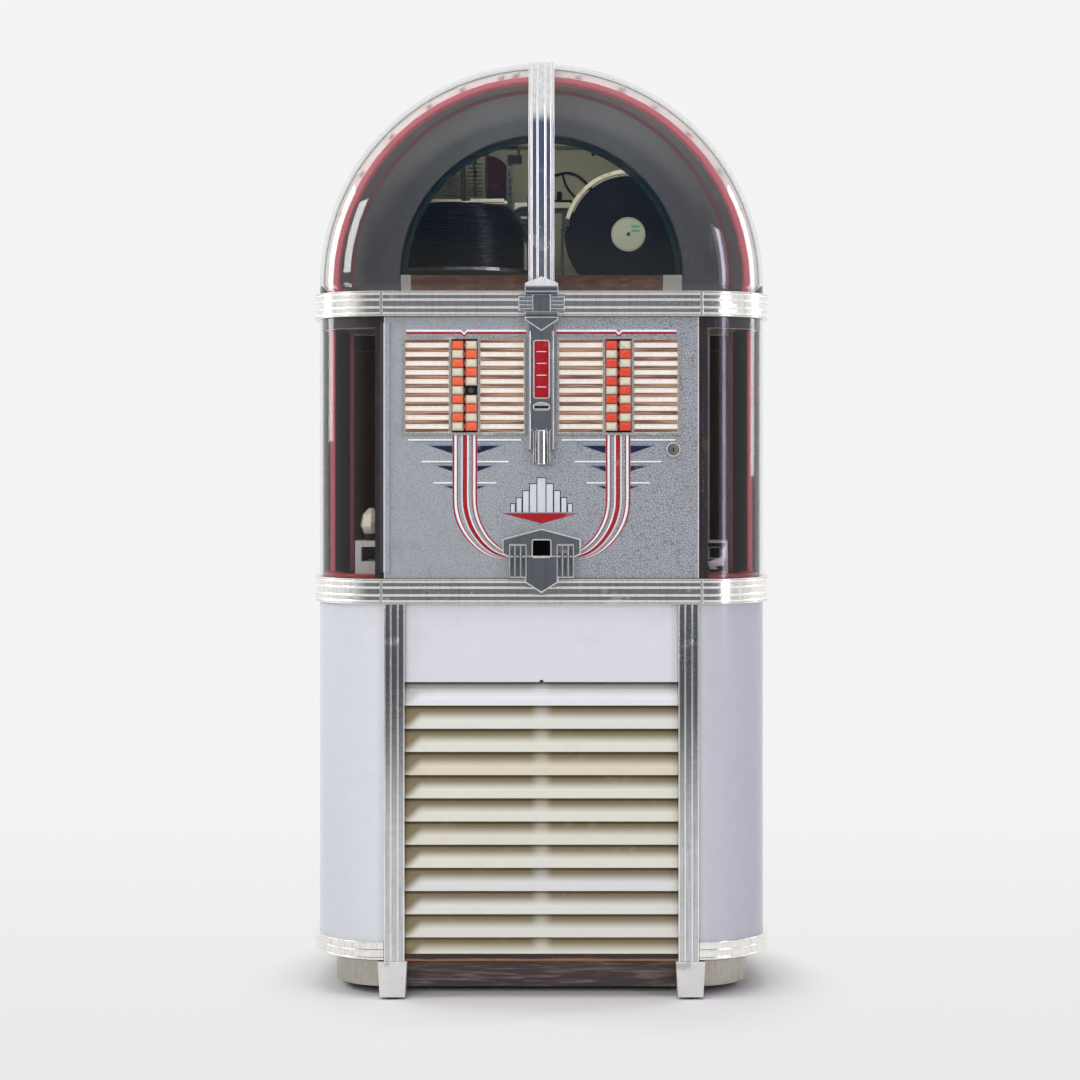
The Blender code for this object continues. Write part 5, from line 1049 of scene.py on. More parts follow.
# Castings, bands and trim with rounded edges
edges = {
    "coin_column": (0.0014, darkChrome, "coinColumnRounded"),
    "payout_cup": (0.0014, darkChrome, "payoutCupRounded"),
    "bottom_band_left": (0.0009, bandChrome, "bottomBandLeftRounded"),
    "bottom_band_right": (0.0009, bandChrome, "bottomBandRightRounded"),
    "title_rack_left": (0.0005, wornChrome, "titleRackLeftRounded"),
    "title_rack_right": (0.0005, wornChrome, "titleRackRightRounded"),
    "front_foot_left": (0.0012, castAluminium, "footLeftRounded"),
    "front_foot_right": (0.0012, castAluminium, "footRightRounded"),
    "door_panel": (0.0006, cracklePaint, "doorPanelRounded"),
}
for nodeName, (width, material, name) in edges.items():
    softened(nodeName, width, material, name)

keys = {
    "centre": 0.135, "missing": (-1, 6), "wide": 1.03, "high": 1.04, "rise": 0.0024,
    "flatWide": 0.60, "flatHigh": 0.46, "edge": 0.00025,
}


def keyRow(nodeName, name, centre, material, missing):
    # each cap is a low pyramid; where one is missing its black pin shows
    source = nodes[nodeName]
    bm = bmesh.new()
    bm.from_mesh(source.data)
    bm.transform(source.matrix_world)
    shells = []
    for side in (-1, 1):
        cap = [vert for vert in bm.verts if vert.co.y < front + 0.0045 and side * (vert.co.x - centre) > 0.0018]
        spans = [(min(vert.co[axis] for vert in cap), max(vert.co[axis] for vert in cap)) for axis in range(3)]
        middle = [sum(span) / 2 for span in spans]
        bare = missing and side > 0
        wide, high, sink = (0.30, 0.40, 0.005) if bare else (0.9, 0.9, 0.003)
        for vert in cap:
            vert.co.x = middle[0] + (vert.co.x - middle[0]) * wide
            vert.co.z = middle[2] + (vert.co.z - middle[2]) * high
            vert.co.y = min(vert.co.y + sink, spans[1][1])
        if not bare:
            shells.append((middle, [(span[1] - span[0]) / 2 for span in spans], spans[1]))
    for middle, half, (yFront, yBack) in shells:
        rings = []
        levels = ((yBack, 1, 1), (yFront + keys["rise"], 1, 1), (yFront, keys["flatWide"], keys["flatHigh"]))
        for y, wide, high in levels:
            w, h = half[0] * keys["wide"] * wide, half[2] * keys["high"] * high
            corners = ((-1, -1), (1, -1), (1, 1), (-1, 1))
            rings.append([(middle[0] + sx * w, y, middle[2] + sz * h) for sx, sz in corners])
        bevelled(bm, list({edge for face in bridge(bm, rings) for edge in face.edges}), keys["edge"])
    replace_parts(link(name, meshFrom(bm, name, 12), material, source["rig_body"]), nodeName)


for side, sideName, warm in ((-1, "left", orange), (1, "right", scarlet)):
    centre = side * keys["centre"]
    caps = [
        makeKeyCaps(sideName + "IvoryFirst", centre, ivory, warm),
        makeKeyCaps(sideName + "WarmFirst", centre, warm, ivory),
    ]
    for row in range(1, 11):
        missing = (side, row) == keys["missing"]
        material = makeKeyCaps(sideName + "BarePin", centre, ivory, (30, 30, 30)) if missing else caps[row % 2]
        keyRow(f"key_{sideName}_{row:02d}", f"keyRow{sideName.title()}{row:02d}", centre, material, missing)
barePin = {"x": -0.1238, "z": 1.06832, "wide": 0.0102, "high": 0.0068}
pinBody = nodes["key_left_06"]["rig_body"]
boxes("barePinHole", [
    ((barePin["x"] - barePin["wide"], front + 0.0006, barePin["z"] - barePin["high"]),
     (barePin["x"] + barePin["wide"], front + 0.0026, barePin["z"] + barePin["high"])),
], 0.0004, darkRubber, pinBody)
turned("barePinRing", [
    (0.0, -0.0028), (0.0030, -0.0028), (0.0036, -0.0034), (0.0044, -0.0034), (0.0048, -0.0028),
    (0.0048, 0.0016), (0.0, 0.0016),
], (barePin["x"], front, barePin["z"]), "Y", 28, darkPaint, pinBody)
print("castings and keys rounded")

# Painted lines of the door
redPaint = makePaint("redPaint", (160, 6, 22))
whitePaint = makePaint("whitePaint", (236, 238, 238), 0.2)
bluePaint = makePaint("bluePaint", (120, 134, 152), 0.3)
palePaint = makePaint("palePaint", (206, 212, 218), 0.2)
navyPaint = makePaint("navyPaint", (6, 12, 58), 0.15)

# stripes: share across the bundle of each edge, from the outer edge to the inner one
bundle = {
    "outer": [
        (452.2, 435), (452.2, 470), (452.2, 500), (453.8, 515), (459, 528.5), (467.5, 540.5), (479.5, 551.3),
        (492, 557.2), (504, 559.6)],
    "centre": [
        (464.4, 435), (464.4, 470), (464.4, 499), (465.6, 511), (469.2, 523.5), (475, 534.5), (483.5, 545),
        (493.5, 552.6), (504.5, 557)],
    "inner": [
        (476.5, 435), (476.5, 470), (476.5, 497), (477, 507), (478.8, 516), (482.2, 525), (487.5, 534.5),
        (494.5, 542.5), (502.5, 549.5)],
    "stripes": [
        (redPaint, 0.00, 0.058), (whitePaint, 0.074, 0.169), (redPaint, 0.175, 0.210),
        (palePaint, 0.346, 0.412), (redPaint, 0.420, 0.584), (whitePaint, 0.597, 0.654),
        (redPaint, 0.781, 0.812), (whitePaint, 0.850, 0.932), (redPaint, 0.942, 1.0),
    ],
}
lines = [smoothLine(bundle[name]) for name in ("outer", "centre", "inner")]


def acrossBundle(share):
    # the line that lies at this share of the way from the outer to the inner edge
    weights = ((share - 0.5) * (share - 1) * 2, -4 * share * (share - 1), 2 * share * (share - 0.5))
    return [
        fromFront(*(sum(w * p[axis] for w, p in zip(weights, trio)) for axis in (0, 1)))
        for trio in zip(*lines)
    ]


for material in (redPaint, whitePaint, palePaint):
    bm = bmesh.new()
    for paint, low, high in bundle["stripes"]:
        if paint == material:
            left, right = acrossBundle(low), acrossBundle(high)
            ribbon(bm, left, right)
            ribbon(bm, [(-x, z) for x, z in right], [(-x, z) for x, z in left])
    name = "stripes" + material.name[0].upper() + material.name[1:]
    link(name, meshFrom(bm, name, 20), material, "door")


def paintBoth(name, outlines, material):
    # outlines on one side and their mirror images
    placed = [[fromFront(*point) for point in outline] for outline in outlines]
    placed += [[(-x, z) for x, z in reversed(outline)] for outline in placed]
    paintPlate(name, placed, material)


# speed lines: a white line over grey bands and a dark wedge, on both sides of each bundle;
# high, low and both tips of each
wings = {
    "roots": (451.9, 476.9),
    "lean": 5,
    "lines": ((439.0, 440.6, 407.6, 520.8), (460.8, 462.3, 421, 508), (482.1, 483.5, 433, 496)),
    "bands": (
        (440.8, 442.2, 413, 516), (444.4, 445.6, 424, 505), (462.5, 463.5, 426, 502), (464.9, 465.7, 432, 496),
        (484.2, 485.0, 438, 490)),
    "wedges": ((445.8, 453.5, 429.2, 499.4), (465.9, 471.3, 436, 492), (486.0, 488.9, 444, 485.5)),
}


def wingOutlines(kind):
    outlines = []
    for high, low, *tips in wings[kind]:
        for tip, root, lean in zip(tips, wings["roots"], (wings["lean"], -wings["lean"])):
            foot = {"lines": [(tip, low)], "bands": [(tip + lean, low)], "wedges": []}[kind]
            outlines.append([(tip, high), (root, high), (root, low)] + foot)
    return outlines


paintBoth("speedLines", wingOutlines("lines"), whitePaint)
paintBoth("speedBands", wingOutlines("bands"), bluePaint)
paintBoth("speedWedges", wingOutlines("wedges"), navyPaint)

# head line with its two notches: places across, and how far each dips
headline = {
    "across": ((406, 0), (460.6, 0), (463.6, 3.4), (466.6, 0), (526, 0)),
    "top": 329.6, "middle": 331.7, "low": 334.0,
}
for name, high, low, material in (
    ("headlineWhite", headline["top"], headline["middle"], whitePaint),
    ("headlineRed", headline["middle"], headline["low"], redPaint),
):
    upper, lower = [[(x, level + dip) for x, dip in headline["across"]] for level in (high, low)]
    paintBoth(name, [upper + lower[::-1]], material)

# fan of bars over a red wedge, above the payout cup: offset, half width and top of each bar
fan = {
    "middle": 541,
    "wedge": [(501.5, 513.2), (578.5, 513.2), (540.9, 523.6)],
    "bars": ((0, 4.0, 478), (8.2, 3.2, 484), (15.6, 2.8, 491), (22.4, 2.4, 498), (28.6, 2.0, 504)),
    "foot": 512.2,
    "shade": 0.8,
}


def fanOutlines(grow):
    outlines = []
    for offset, half, top in fan["bars"]:
        for side in (-1, 1) if offset else (1,):
            centre = fan["middle"] + side * offset
            left, right = centre - half - grow, centre + half + grow
            corners = ((left, top - grow), (right, top - grow), (right, fan["foot"]), (left, fan["foot"]))
            outlines.append([fromFront(*corner) for corner in corners])
    return outlines


paintPlate("fanWedge", [[fromFront(*point) for point in fan["wedge"]]], redPaint)
paintPlate("fanShade", fanOutlines(fan["shade"]), navyPaint)
plate("fanBars", fanOutlines(0), front - 0.0009, front + 0.0002, palePaint, "door", 0.0002)
print("door painted")

# Title strips: one card for each row of each window
cardRed = makePaint("cardRed", (196, 120, 108))
titles = {
    "spans": ((-0.2390, -0.1626), (-0.1074, -0.0310)), "first": 1.147575, "row": 0.01585, "height": 0.0096,
    "y": front + 0.0016, "thick": 0.0005, "edge": 0.0007, "rim": 0.0030, "rimLow": 0.9920, "rimHigh": 1.1600,
}
for side, sideName in ((1, "Left"), (-1, "Right")):
    spans = [mirrored(side, *span) for span in titles["spans"]]
    cards, cardEdges = [], []
    for left, right in spans:
        for row in range(10):
            z, y = titles["first"] - row * titles["row"], titles["y"]
            low, high = z - titles["height"] / 2, z + titles["height"] / 2
            cards.append(((left, y, low), (right, y + titles["thick"], high)))
            for z in (low, high - titles["edge"]):
                cardEdges.append(((left + 0.001, y - 0.0002, z), (right - 0.001, y + 0.0002, z + titles["edge"])))
    boxes("titleStrips" + sideName, cards, 0.0002, titleCard, "door")
    boxes("titleEdges" + sideName, cardEdges, 0.0001, cardRed, "door")
    for index, (left, right) in enumerate(spans):
        x0, x1, z0, z1 = left - titles["rim"], right + titles["rim"], titles["rimLow"], titles["rimHigh"]
        rimLine(
            f"titleFrame{sideName}{index + 1}", [(x0, z0), (x1, z0), (x1, z1), (x0, z1)], titles["rim"],
            front - 0.0012, "door", True, 0.0009, 0.0024, frameChrome)

# dark lining behind the gaps between the keys
lining = {"half": 0.0225, "low": 0.9945, "high": 1.1580, "y": front + 0.0128}
liningBrown = makeRubber("liningBrown", (92, 40, 30), 0.6)
for side, sideName in ((-1, "Left"), (1, "Right")):
    x = side * keys["centre"]
    boxes("keyLining" + sideName, [
        ((x - lining["half"], lining["y"], lining["low"]), (x + lining["half"], lining["y"] + 0.001, lining["high"])),
    ], 0.0003, liningBrown, "door")


def roundedOutline(half, low, high, corner):
    points = []
    for cx, cz, start in (
        (half - corner, high - corner, 0), (-half + corner, high - corner, 90),
        (-half + corner, low + corner, 180), (half - corner, low + corner, 270),
    ):
        points += arcPoints((cx, cz), corner, start, start + 90, 6)
    return points


def roundedRim(look):
    # outside and opening of a rounded rim
    return [
        roundedOutline(look["half"] - inset, look["low"] + inset, look["high"] - inset, look["corner"] - inset)
        for inset in (0, look["rim"])
    ]


# price window: red lens in a pale rim, in the column's recess; rim of the cup's pocket
lens = {"half": 0.0146, "low": 1.0532, "high": 1.1563, "corner": 0.0052, "rim": 0.0021}
pocket = {"half": 0.0174, "low": 0.7746, "high": 0.8078, "corner": 0.0036, "rim": 0.0022}
lensRed = Finish("lensRed", (160, 6, 24), 0.18, coat=0.3, slot="red_plastic").done(
    (60.0, 0.2), (40.0, 0.3, (190, 70, 76), 0.3), (60.0, 12.0, 0.0002))
lensRim = roundedRim(lens)
plate("priceRim", lensRim, columnFront - 0.0006, columnFront + 0.0030, rimChrome, "door", 0.0007)
plate("pocketRim", roundedRim(pocket), cup["front"] - 0.0004, cup["front"] + 0.003, rimChrome, "door", 0.0008)
plate("priceLens", lensRim[1:], columnFront + 0.0004, columnFront + 0.0032, lensRed, "door", 0.0005)
bars = {"shares": (0.20, 0.40, 0.60, 0.80), "half": 0.0085, "thick": 0.0012}
corners = []
for share in bars["shares"]:
    z = lens["low"] + share * (lens["high"] - lens["low"]) - bars["thick"] / 2
    corners.append(
        ((-bars["half"], columnFront + 0.0001, z), (bars["half"], columnFront + 0.0010, z + bars["thick"])))
boxes("priceBars", corners, 0.0003, whitePaint, "door")

# lock face with its key way, and the cup's dark inside
lockFace = {"centre": (0.2313, front, 0.9643), "rim": (0.0106, 0.0124), "keyHalf": (0.0010, 0.0033)}
turned("lockPlug", [
    (0.0, -0.0040), (0.0066, -0.0040), (0.0078, -0.0034), (0.0078, -0.0030), (0.0, -0.0030),
], lockFace["centre"], "Y", 40, nickel, "door_lock")
inner, outer = lockFace["rim"]
turned("lockRim", [
    (inner, -0.0028), (inner, -0.0036), (inner + 0.0004, -0.0040), (outer - 0.0005, -0.0040),
    (outer, -0.0034), (outer, -0.0028), (inner, -0.0028),
], lockFace["centre"], "Y", 48, castAluminium, "door_lock")
x, y, z = lockFace["centre"]
wide, high = lockFace["keyHalf"]
keyWay = [((x - wide, y - 0.0042, z - high), (x + wide, y - 0.0032, z + high))]
boxes("keyWay", keyWay, 0.0002, darkRubber, "door_lock")
cupInside = {"half": 0.0163, "low": 0.7750, "high": 0.8060, "mouth": 0.0120, "back": 0.0280, "wall": 0.0003}
h, low, high, t = [cupInside[key] for key in ("half", "low", "high", "wall")]
y0, y1 = front - cupInside["mouth"], front + cupInside["back"]
boxes("cupLining", [
    ((-h, y1 - t, low), (h, y1, high)),
    ((-h, y0, low), (-h + t, y1, high)),
    ((h - t, y0, low), (h, y1, high)),
    ((-h, y0, high - t), (h, y1, high)),
    ((-h, y0, low), (h, y1, low + t)),
], 0.0001, darkRubber, "door")
print("door fittings built")

# Lid: sign bar, glass, clips
hoodFace = cabinet["hoodFront"] - 0.0033
signBrown = Finish("signBrown", (72, 46, 32), 0.5, slot="hood_paint")
streaks = signBrown.along(0.25, 1, 1)
signBrown.cover(signBrown.ramp(signBrown.noise(streaks, 120.0, 4.0), 0.45, 0.62), (98, 66, 46))
signBrown.cover(signBrown.ramp(signBrown.noise(streaks, 34.0, 1.0), 0.66, 0.70), (148, 74, 48))
signPaint = signBrown.done(wear=(30.0, 0.6, (80, 50, 36), 0.6), grain=(500.0, 60.0, 0.0002))
signEnd = makeEnamel("signEnd", (150, 147, 136), (120, 116, 106), 0.5)
sign = {"left": -0.236, "right": 0.220, "low": 1.2520, "high": 1.2795, "end": 0.2545, "gap": 0.0004}
low, high, back = sign["low"], sign["high"], hoodFace - 0.0001
board = [((sign["left"], hoodFace - 0.0022, low), (sign["right"], back, high))]
boxes("signBoard", board, 0.0004, signPaint, "lid")
boxes("signEnds", [
    ((left, hoodFace - 0.0020, low), (right, back, high + 0.001))
    for left, right in ((-sign["end"], sign["left"] - sign["gap"]), (sign["right"] + sign["gap"], sign["end"]))
], 0.0004, signEnd, "lid")

# glass behind the panel's opening, its edge seen as a dark green band, and the opening's trim
pane = {"radius": 0.2630, "centre": 1.2778, "low": 1.2500, "band": (0.2550, 0.2430), "trim": (0.2566, 0.2548)}
paneFront = cabinet["hoodFront"] + 0.0001


def halfRound(radius):
    return arcPoints((0, pane["centre"]), radius, 0, 180, 64)


def halfRing(outer, inner):
    return [halfRound(outer) + halfRound(inner)[::-1]]


whole = [[(pane["radius"], pane["low"])] + halfRound(pane["radius"]) + [(-pane["radius"], pane["low"])]]
plate("viewGlass", whole, paneFront, paneFront + 0.0030, paneGlass, "lid", 0.0005)
plate("viewGlassBand", halfRing(*pane["band"]), paneFront + 0.0034, paneFront + 0.0064, tealEdge, "lid", 0.0004)
plate("viewTrim", halfRing(*pane["trim"]), hoodFace - 0.0010, hoodFace - 0.0001, darkRubber, "lid", 0.0003)

# clips and a thin seam along the hood's edge, outside the red strip
clips = {
    "radius": 0.3885, "half": (0.0055, 0.0045), "depth": 0.006,
    "angles": (22, 33, 46, 58, 68, 80, 97, 101, 112, 122, 135, 148, 160),
}
(x, z), depth = clips["half"], clips["depth"]
bm = bmesh.new()
for angle in clips["angles"]:
    before = set(bm.verts)
    roundedBox(bm, (-x, -depth, -z), (x, 0, z), 0.001)
    roundedBox(bm, (-0.0022, -depth - 0.002, -0.0022), (0.0022, -depth + 0.001, 0.0022), 0.0009)
    fresh = [vert for vert in bm.verts if vert not in before]
    turn = Matrix.Rotation(math.radians(90 - angle), 3, "Y")
    bmesh.ops.rotate(bm, cent=(0, 0, 0), matrix=turn, verts=fresh)
    across, rise = arcPoints((0, cabinet["archZ"]), clips["radius"], angle, angle, 1)[0]
    bmesh.ops.translate(bm, vec=(across, cabinet["hoodFront"] - 0.0002, rise), verts=fresh)
link("domeClips", meshFrom(bm, "domeClips"), castAluminium, "lid")


def archLine(across, rise, low, steps=72):
    # round the arch, with straight legs down to the low level
    arc = [(x * across, z * rise + cabinet["archZ"]) for x, z in arcPoints((0, 0), 1, 0, 180, steps)]
    return [(across, low)] + arc + [(-across, low)]


seam = [(x, cabinet["hoodFront"] - 0.0014, z) for x, z in archLine(0.3955, 0.3955, 1.2435, 48)]
tube("domeSeam", seam, 0.0011, darkRubber, "lid")

# painted highlight on the lit front edge of the red strip, and a painted reflection of the strip as a deeper red line
# inside it: half width and rise
rosyEdge = makeEnamel("rosyEdge", (178, 70, 82), (140, 64, 72), 0.35, "red_plastic")
deepRed = makeEnamel("deepRed", (92, 30, 44), (70, 34, 42), 0.4, "red_plastic")
for name, outer, inner, yFront, yBack, material in (
    ("archRedEdge", (0.3728, 0.3728), (0.3640, 0.3640), -0.2398, -0.2387, rosyEdge),
    ("archRedLine", (0.3460, 0.3570), (0.3390, 0.3495), hoodFace - 0.0012, hoodFace - 0.0002, deepRed),
):
    outline = archLine(*outer, 1.2436) + archLine(*inner, 1.2436)[::-1]
    plate(name, [outline], yFront, yBack, material, "lid", 0.0003)

# hood back board: dark ledge with its screws
board = {"y": 0.3205, "railZ": 1.579, "half": 0.20, "screws": {"Left": -0.11, "Right": 0.106}}
y, z = board["y"], board["railZ"]
rail = [((-board["half"], y - 0.010, z - 0.003), (board["half"], y, z + 0.003))]
boxes("hoodRail", rail, 0.001, darkPaint, "lid")
for sideName, x in board["screws"].items():
    profile = [(0.0, -0.0034), (0.0022, -0.0031), (0.0038, -0.0016), (0.0042, 0.0), (0.0, 0.0)]
    turned("hoodScrew" + sideName, profile, (x, y, z - 0.012), "Y", 20, platedSteel, "lid")
print("lid fittings built")

# Pins at the ends of the bands: radius and height from the band's face, level and body
pins = {
    "profile": ((0.0, 0.0014), (0.0016, 0.0012), (0.0024, 0.0), (0.0024, -0.002), (0.0, -0.002)),
    "x": 0.4072, "y": -0.185,
    "levels": ((1.2040, "lid"), (1.2370, "lid"), (0.7010, "cabinet"), (0.7310, "cabinet")),
}
places = [(side, z, body) for z, body in pins["levels"] for side in (-1, 1)]
for index, (side, z, body) in enumerate(places):
    profile = [(radius, side * height) for radius, height in pins["profile"]]
    turned(f"bandPin{index + 1}", profile, (side * pins["x"], pins["y"], z), "X", 16, darkRubber, body)


# Side windows: red strip and rails behind the clear corners
def cornerRail(name, inset, width, low, high, material, side):
    lines = [cornerLine(grow, -0.19, 14) for grow in (inset, inset + width)]
    bridged(name, wallRings(side, *lines, low, high), 30, material, "cabinet")


windows = {
    "low": 0.7384, "high": 1.1966, "redHigh": 0.7440, "railLow": 1.1780, "inset": 0.0085,
    "strip": (0.3812, 0.3727), "stripY": (-0.208, -0.194), "inner": (0.3455, 0.3385), "innerY": (-0.207, -0.197),
}
screws = {"x": 0.3862, "y": -0.199, "heights": (0.745, 0.790, 0.830, 0.955, 0.966, 1.090, 1.185)}
bracket = {
    "x": 0.3085, "y": -0.2365, "half": 0.0235, "high": 0.7985, "low": 0.7446, "corner": 0.006, "cut": 0.017,
    "hole": (0.013, 0.7700, 0.7880, 0.005),
}
redFloor = makeEnamel("redFloor", (140, 44, 34), (90, 60, 50), 0.5)
# painted light: the rail is coloured paler to make up for the shade under the band
railPaint = makeEnamel("railPaint", (226, 216, 204), (150, 142, 134), 0.5)
# cast bracket: rounded window above, arched cut at its inner foot; both copies stand at the right end
half, high, low, corner = [bracket[key] for key in ("half", "high", "low", "corner")]
loops = [
    arcPoints((half - corner, high - corner), corner, 0, 90, 6)
    + arcPoints((-half + corner, high - corner), corner, 90, 180, 6)
    + [(-half, low), (half - bracket["cut"], low)]
    + arcPoints((half, low), bracket["cut"], 180, 90, 8),
    roundedOutline(*bracket["hole"]),
]
for side, sideName in ((-1, "Left"), (1, "Right")):
    inset, low, high = windows["inset"], windows["redHigh"], windows["railLow"]
    cornerRail("windowFloor" + sideName, inset, 0.030, windows["low"], low, redFloor, side)
    cornerRail("windowRail" + sideName, inset, 0.008, high, windows["high"], railPaint, side)
    # the red strip in its painted lit rosy colour, and a deeper red painted reflection of it further in
    for name, key, material in (("windowStrip", "strip", rosyEdge), ("windowInnerStrip", "inner", deepRed)):
        (left, right), (yFront, yBack) = mirrored(side, *windows[key]), windows[key + "Y"]
        boxes(name + sideName, [((left, yFront, low), (right, yBack, high))], 0.001, material, "cabinet")
    # small dark screws that hold the clear corner
    x, y = side * screws["x"], screws["y"]
    boxes("windowScrews" + sideName, [
        ((x - 0.0022, y - 0.0022, z - 0.003), (x + 0.0022, y + 0.0022, z + 0.003)) for z in screws["heights"]
    ], 0.0008, darkRubber, "cabinet")
    placed = [[(bracket["x"] - x, z) for x, z in loop] for loop in loops]
    plate("bedBracket" + sideName, placed, bracket["y"], bracket["y"] + 0.010, castAluminium, "cabinet", 0.0016)
print("side windows dressed")

# small lamp with a faceted cream shade, on the left bracket
beacon = {"x": -0.3075, "y": -0.200, "foot": 0.8006}
turned("beaconCore", [
    (0.0, 0.0), (0.012, 0.0), (0.012, 0.024), (0.008, 0.034), (0.0, 0.034),
], (beacon["x"], beacon["y"], beacon["foot"]), "Z", 20, darkRubber, "cabinet")
bm = bmesh.new()
shade = []
for radius, height in ((0.015, 0.012), (0.021, 0.026), (0.017, 0.046), (0.005, 0.058)):
    arc = arcPoints((beacon["x"], beacon["y"]), radius, 115, 323, 4)
    shade.append([bm.verts.new((x, y, beacon["foot"] + height)) for x, y in arc])
for lower, upper in zip(shade, shade[1:]):
    for corners in zip(lower, lower[1:], upper[1:], upper):
        bm.faces.new(corners)
piece = link("beaconShade", meshFrom(bm, "beaconShade", 20), creamEnamel, "cabinet")
piece.modifiers.new("wall", "SOLIDIFY").thickness = 0.0016
print("bracket lamp built")

# Changer: records, cream slats on the stack, label of the held record, wiring, maroon guard
stack = {
    "x": -0.155, "y": 0.07435, "radius": 0.1230, "low": 1.3072, "pitch": 0.0031, "count": 40,
    "lean": 0.014, "leanFrom": 26,
    "disc": ((0.020, 0.0), (0.0006, 0.0), (0.0, 0.0006), (0.0, 0.0014), (0.0006, 0.0020), (0.020, 0.0021)),
}
bm = bmesh.new()
for index in range(stack["count"]):
    lean = max(0, index - stack["leanFrom"]) / (stack["count"] - stack["leanFrom"]) * stack["lean"]
    sway = 0.0007 * math.sin(index * 2.4) - 0.0007
    radius, low = stack["radius"] + sway - lean, stack["low"] + index * stack["pitch"]
    centre = (stack["x"] - lean, stack["y"])
    bridge(bm, [
        [(x, y, low + rise) for x, y in arcPoints(centre, radius - inset, 0, 360, 96)[:-1]]
        for inset, rise in stack["disc"]
    ])
stackShellac = makeShellac("stackShellac", "xy", (stack["x"], stack["y"]))
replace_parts(link("recordPile", meshFrom(bm, "recordPile"), stackShellac, "cabinet"), "record_stack")
spindle = [((-0.1605, 0.0690, stack["low"] - 0.0001), (-0.1495, 0.0797, 1.4330))]
boxes("pileSpindle", spindle, 0.0008, platedSteel, "cabinet")
slatFoot = 1.4302
boxes("stackSlats", [
    ((-0.245, 0.000, slatFoot), (-0.065, 0.010, slatFoot + 0.006)),
    ((-0.225, -0.040, slatFoot), (-0.150, -0.030, slatFoot + 0.005)),
    ((-0.135, -0.030, slatFoot), (-0.070, -0.018, slatFoot + 0.007)),
], 0.001, creamEnamel, "cabinet")

held = {"x": 0.170, "z": 1.385, "y": 0.1281, "label": 0.0330, "hole": 0.0038, "step": 0.0003}
heldShellac = makeShellac("heldShellac", "xz", (held["x"], held["z"]))
label = Finish("labelPaper", (192, 194, 172), 0.5)
across, along = label.minus(label.x, held["x"]), label.minus(label.z, held["z"])
radius = label.group(discGrooves, Across=across, Along=along)["Radius"]
label.cover(label.band(radius, 0.0305, 0.0312), (90, 120, 116))
label.cover(label.band(radius, 0.0, 0.0036), (0.01, 0.01, 0.01))
for low, high in ((0.0045, 0.0090), (0.0130, 0.0175)):
    bar = label.times(label.band(across, 0.006, 0.022), label.band(along, low, high))
    label.cover(bar, (92, 178, 154))
edge, hole, step = held["label"], held["hole"], held["step"]
turned("recordLabel", [
    (hole, -step * 2), (edge, -step * 2), (edge + 0.0003, -step), (edge + 0.0003, 0.0), (hole, 0.0),
    (hole, -step * 2),
], (held["x"], held["y"], held["z"]), "Y", 64, label.done((60.0, 0.1), grain=(900.0, 90.0, 0.0002)), "gripper")

# gripper bow: low and high radius, start and end of each part
bow = {
    "y": 0.1226, "outer": (0.1180, 0.1262, 56, 166),
    "inner": ((0.1135, 0.1170, 62, 98), (0.1135, 0.1170, 99, 128), (0.1140, 0.1170, 132, 158)),
}
bowGrey = makeEnamel("bowGrey", (150, 148, 140), (110, 108, 100), 0.45)


def bowArc(low, high, start, end):
    centre = (held["x"], held["z"])
    return arcPoints(centre, high, start, end, 40) + arcPoints(centre, low, end, start, 40)


piece = plate("bowRim", [bowArc(*bow["outer"])], bow["y"], bow["y"] + 0.0040, creamEnamel, "gripper", 0.0008)
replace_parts(piece, "gripper_bow")
segments = [bowArc(*part) for part in bow["inner"]]
plate("bowSegments", segments, bow["y"] + 0.0008, bow["y"] + 0.0048, bowGrey, "gripper", 0.0006)
boxes("bowClamp", [
    ((0.0400, 0.1230, 1.3990), (0.0560, 0.1330, 1.4300)), ((0.0400, 0.1226, 1.3900), (0.0500, 0.1340, 1.4000)),
], 0.0020, platedSteel, "gripper")
boxes("bowArm", [
    ((0.0336, 0.1240, 1.2492), (0.0442, 0.1348, 1.3000)), ((0.0380, 0.1240, 1.2950), (0.0442, 0.1320, 1.3960)),
], 0.0012, darkPaint, "gripper")
turned("bowPin", [
    (0.0, 0.0), (0.0054, 0.0), (0.0058, 0.0005), (0.0058, 0.0268), (0.0, 0.0268),
], (0.0172, 0.1294, 1.2550), "X", 24, platedSteel, "gripper")

maroon = makeEnamel("maroonGuard", (48, 18, 30), (80, 44, 50), 0.4)
guard = {"x": -0.107, "z": 1.4946, "y": 0.150, "radius": 0.047, "foot": 1.4540, "edge": -0.060}
outline = arcPoints((guard["x"], guard["z"]), guard["radius"], 0, 90, 24)
outline += [(guard["x"], guard["foot"]), (guard["edge"], guard["foot"])]
plate("stackGuard", [outline], guard["y"], guard["y"] + 0.003, maroon, "cabinet", 0.0006)
rod = [(guard["x"], guard["y"] - 0.006, z) for z in (guard["foot"], 1.48, 1.52, 1.545)]
tube("guardRod", rod, 0.003, platedSteel, "cabinet")
rack = {"x": -0.0624, "half": 0.0060, "low": 1.425, "high": 1.549, "y": 0.120, "pitch": 0.0136, "holes": 9}
half, low, high = rack["half"], rack["low"], rack["high"]
outlines = [[(-half, low), (half, low), (half, high), (-half, high)]]
for index in range(rack["holes"]):
    foot = low + index * rack["pitch"]
    outlines.append(roundedOutline(0.0018, foot + 0.006, foot + 0.0125, 0.0015))
placed = [[(x + rack["x"], z) for x, z in loop] for loop in outlines]
plate("perforatedRack", placed, rack["y"], rack["y"] + 0.002, darkPaint, "cabinet", 0.0003)
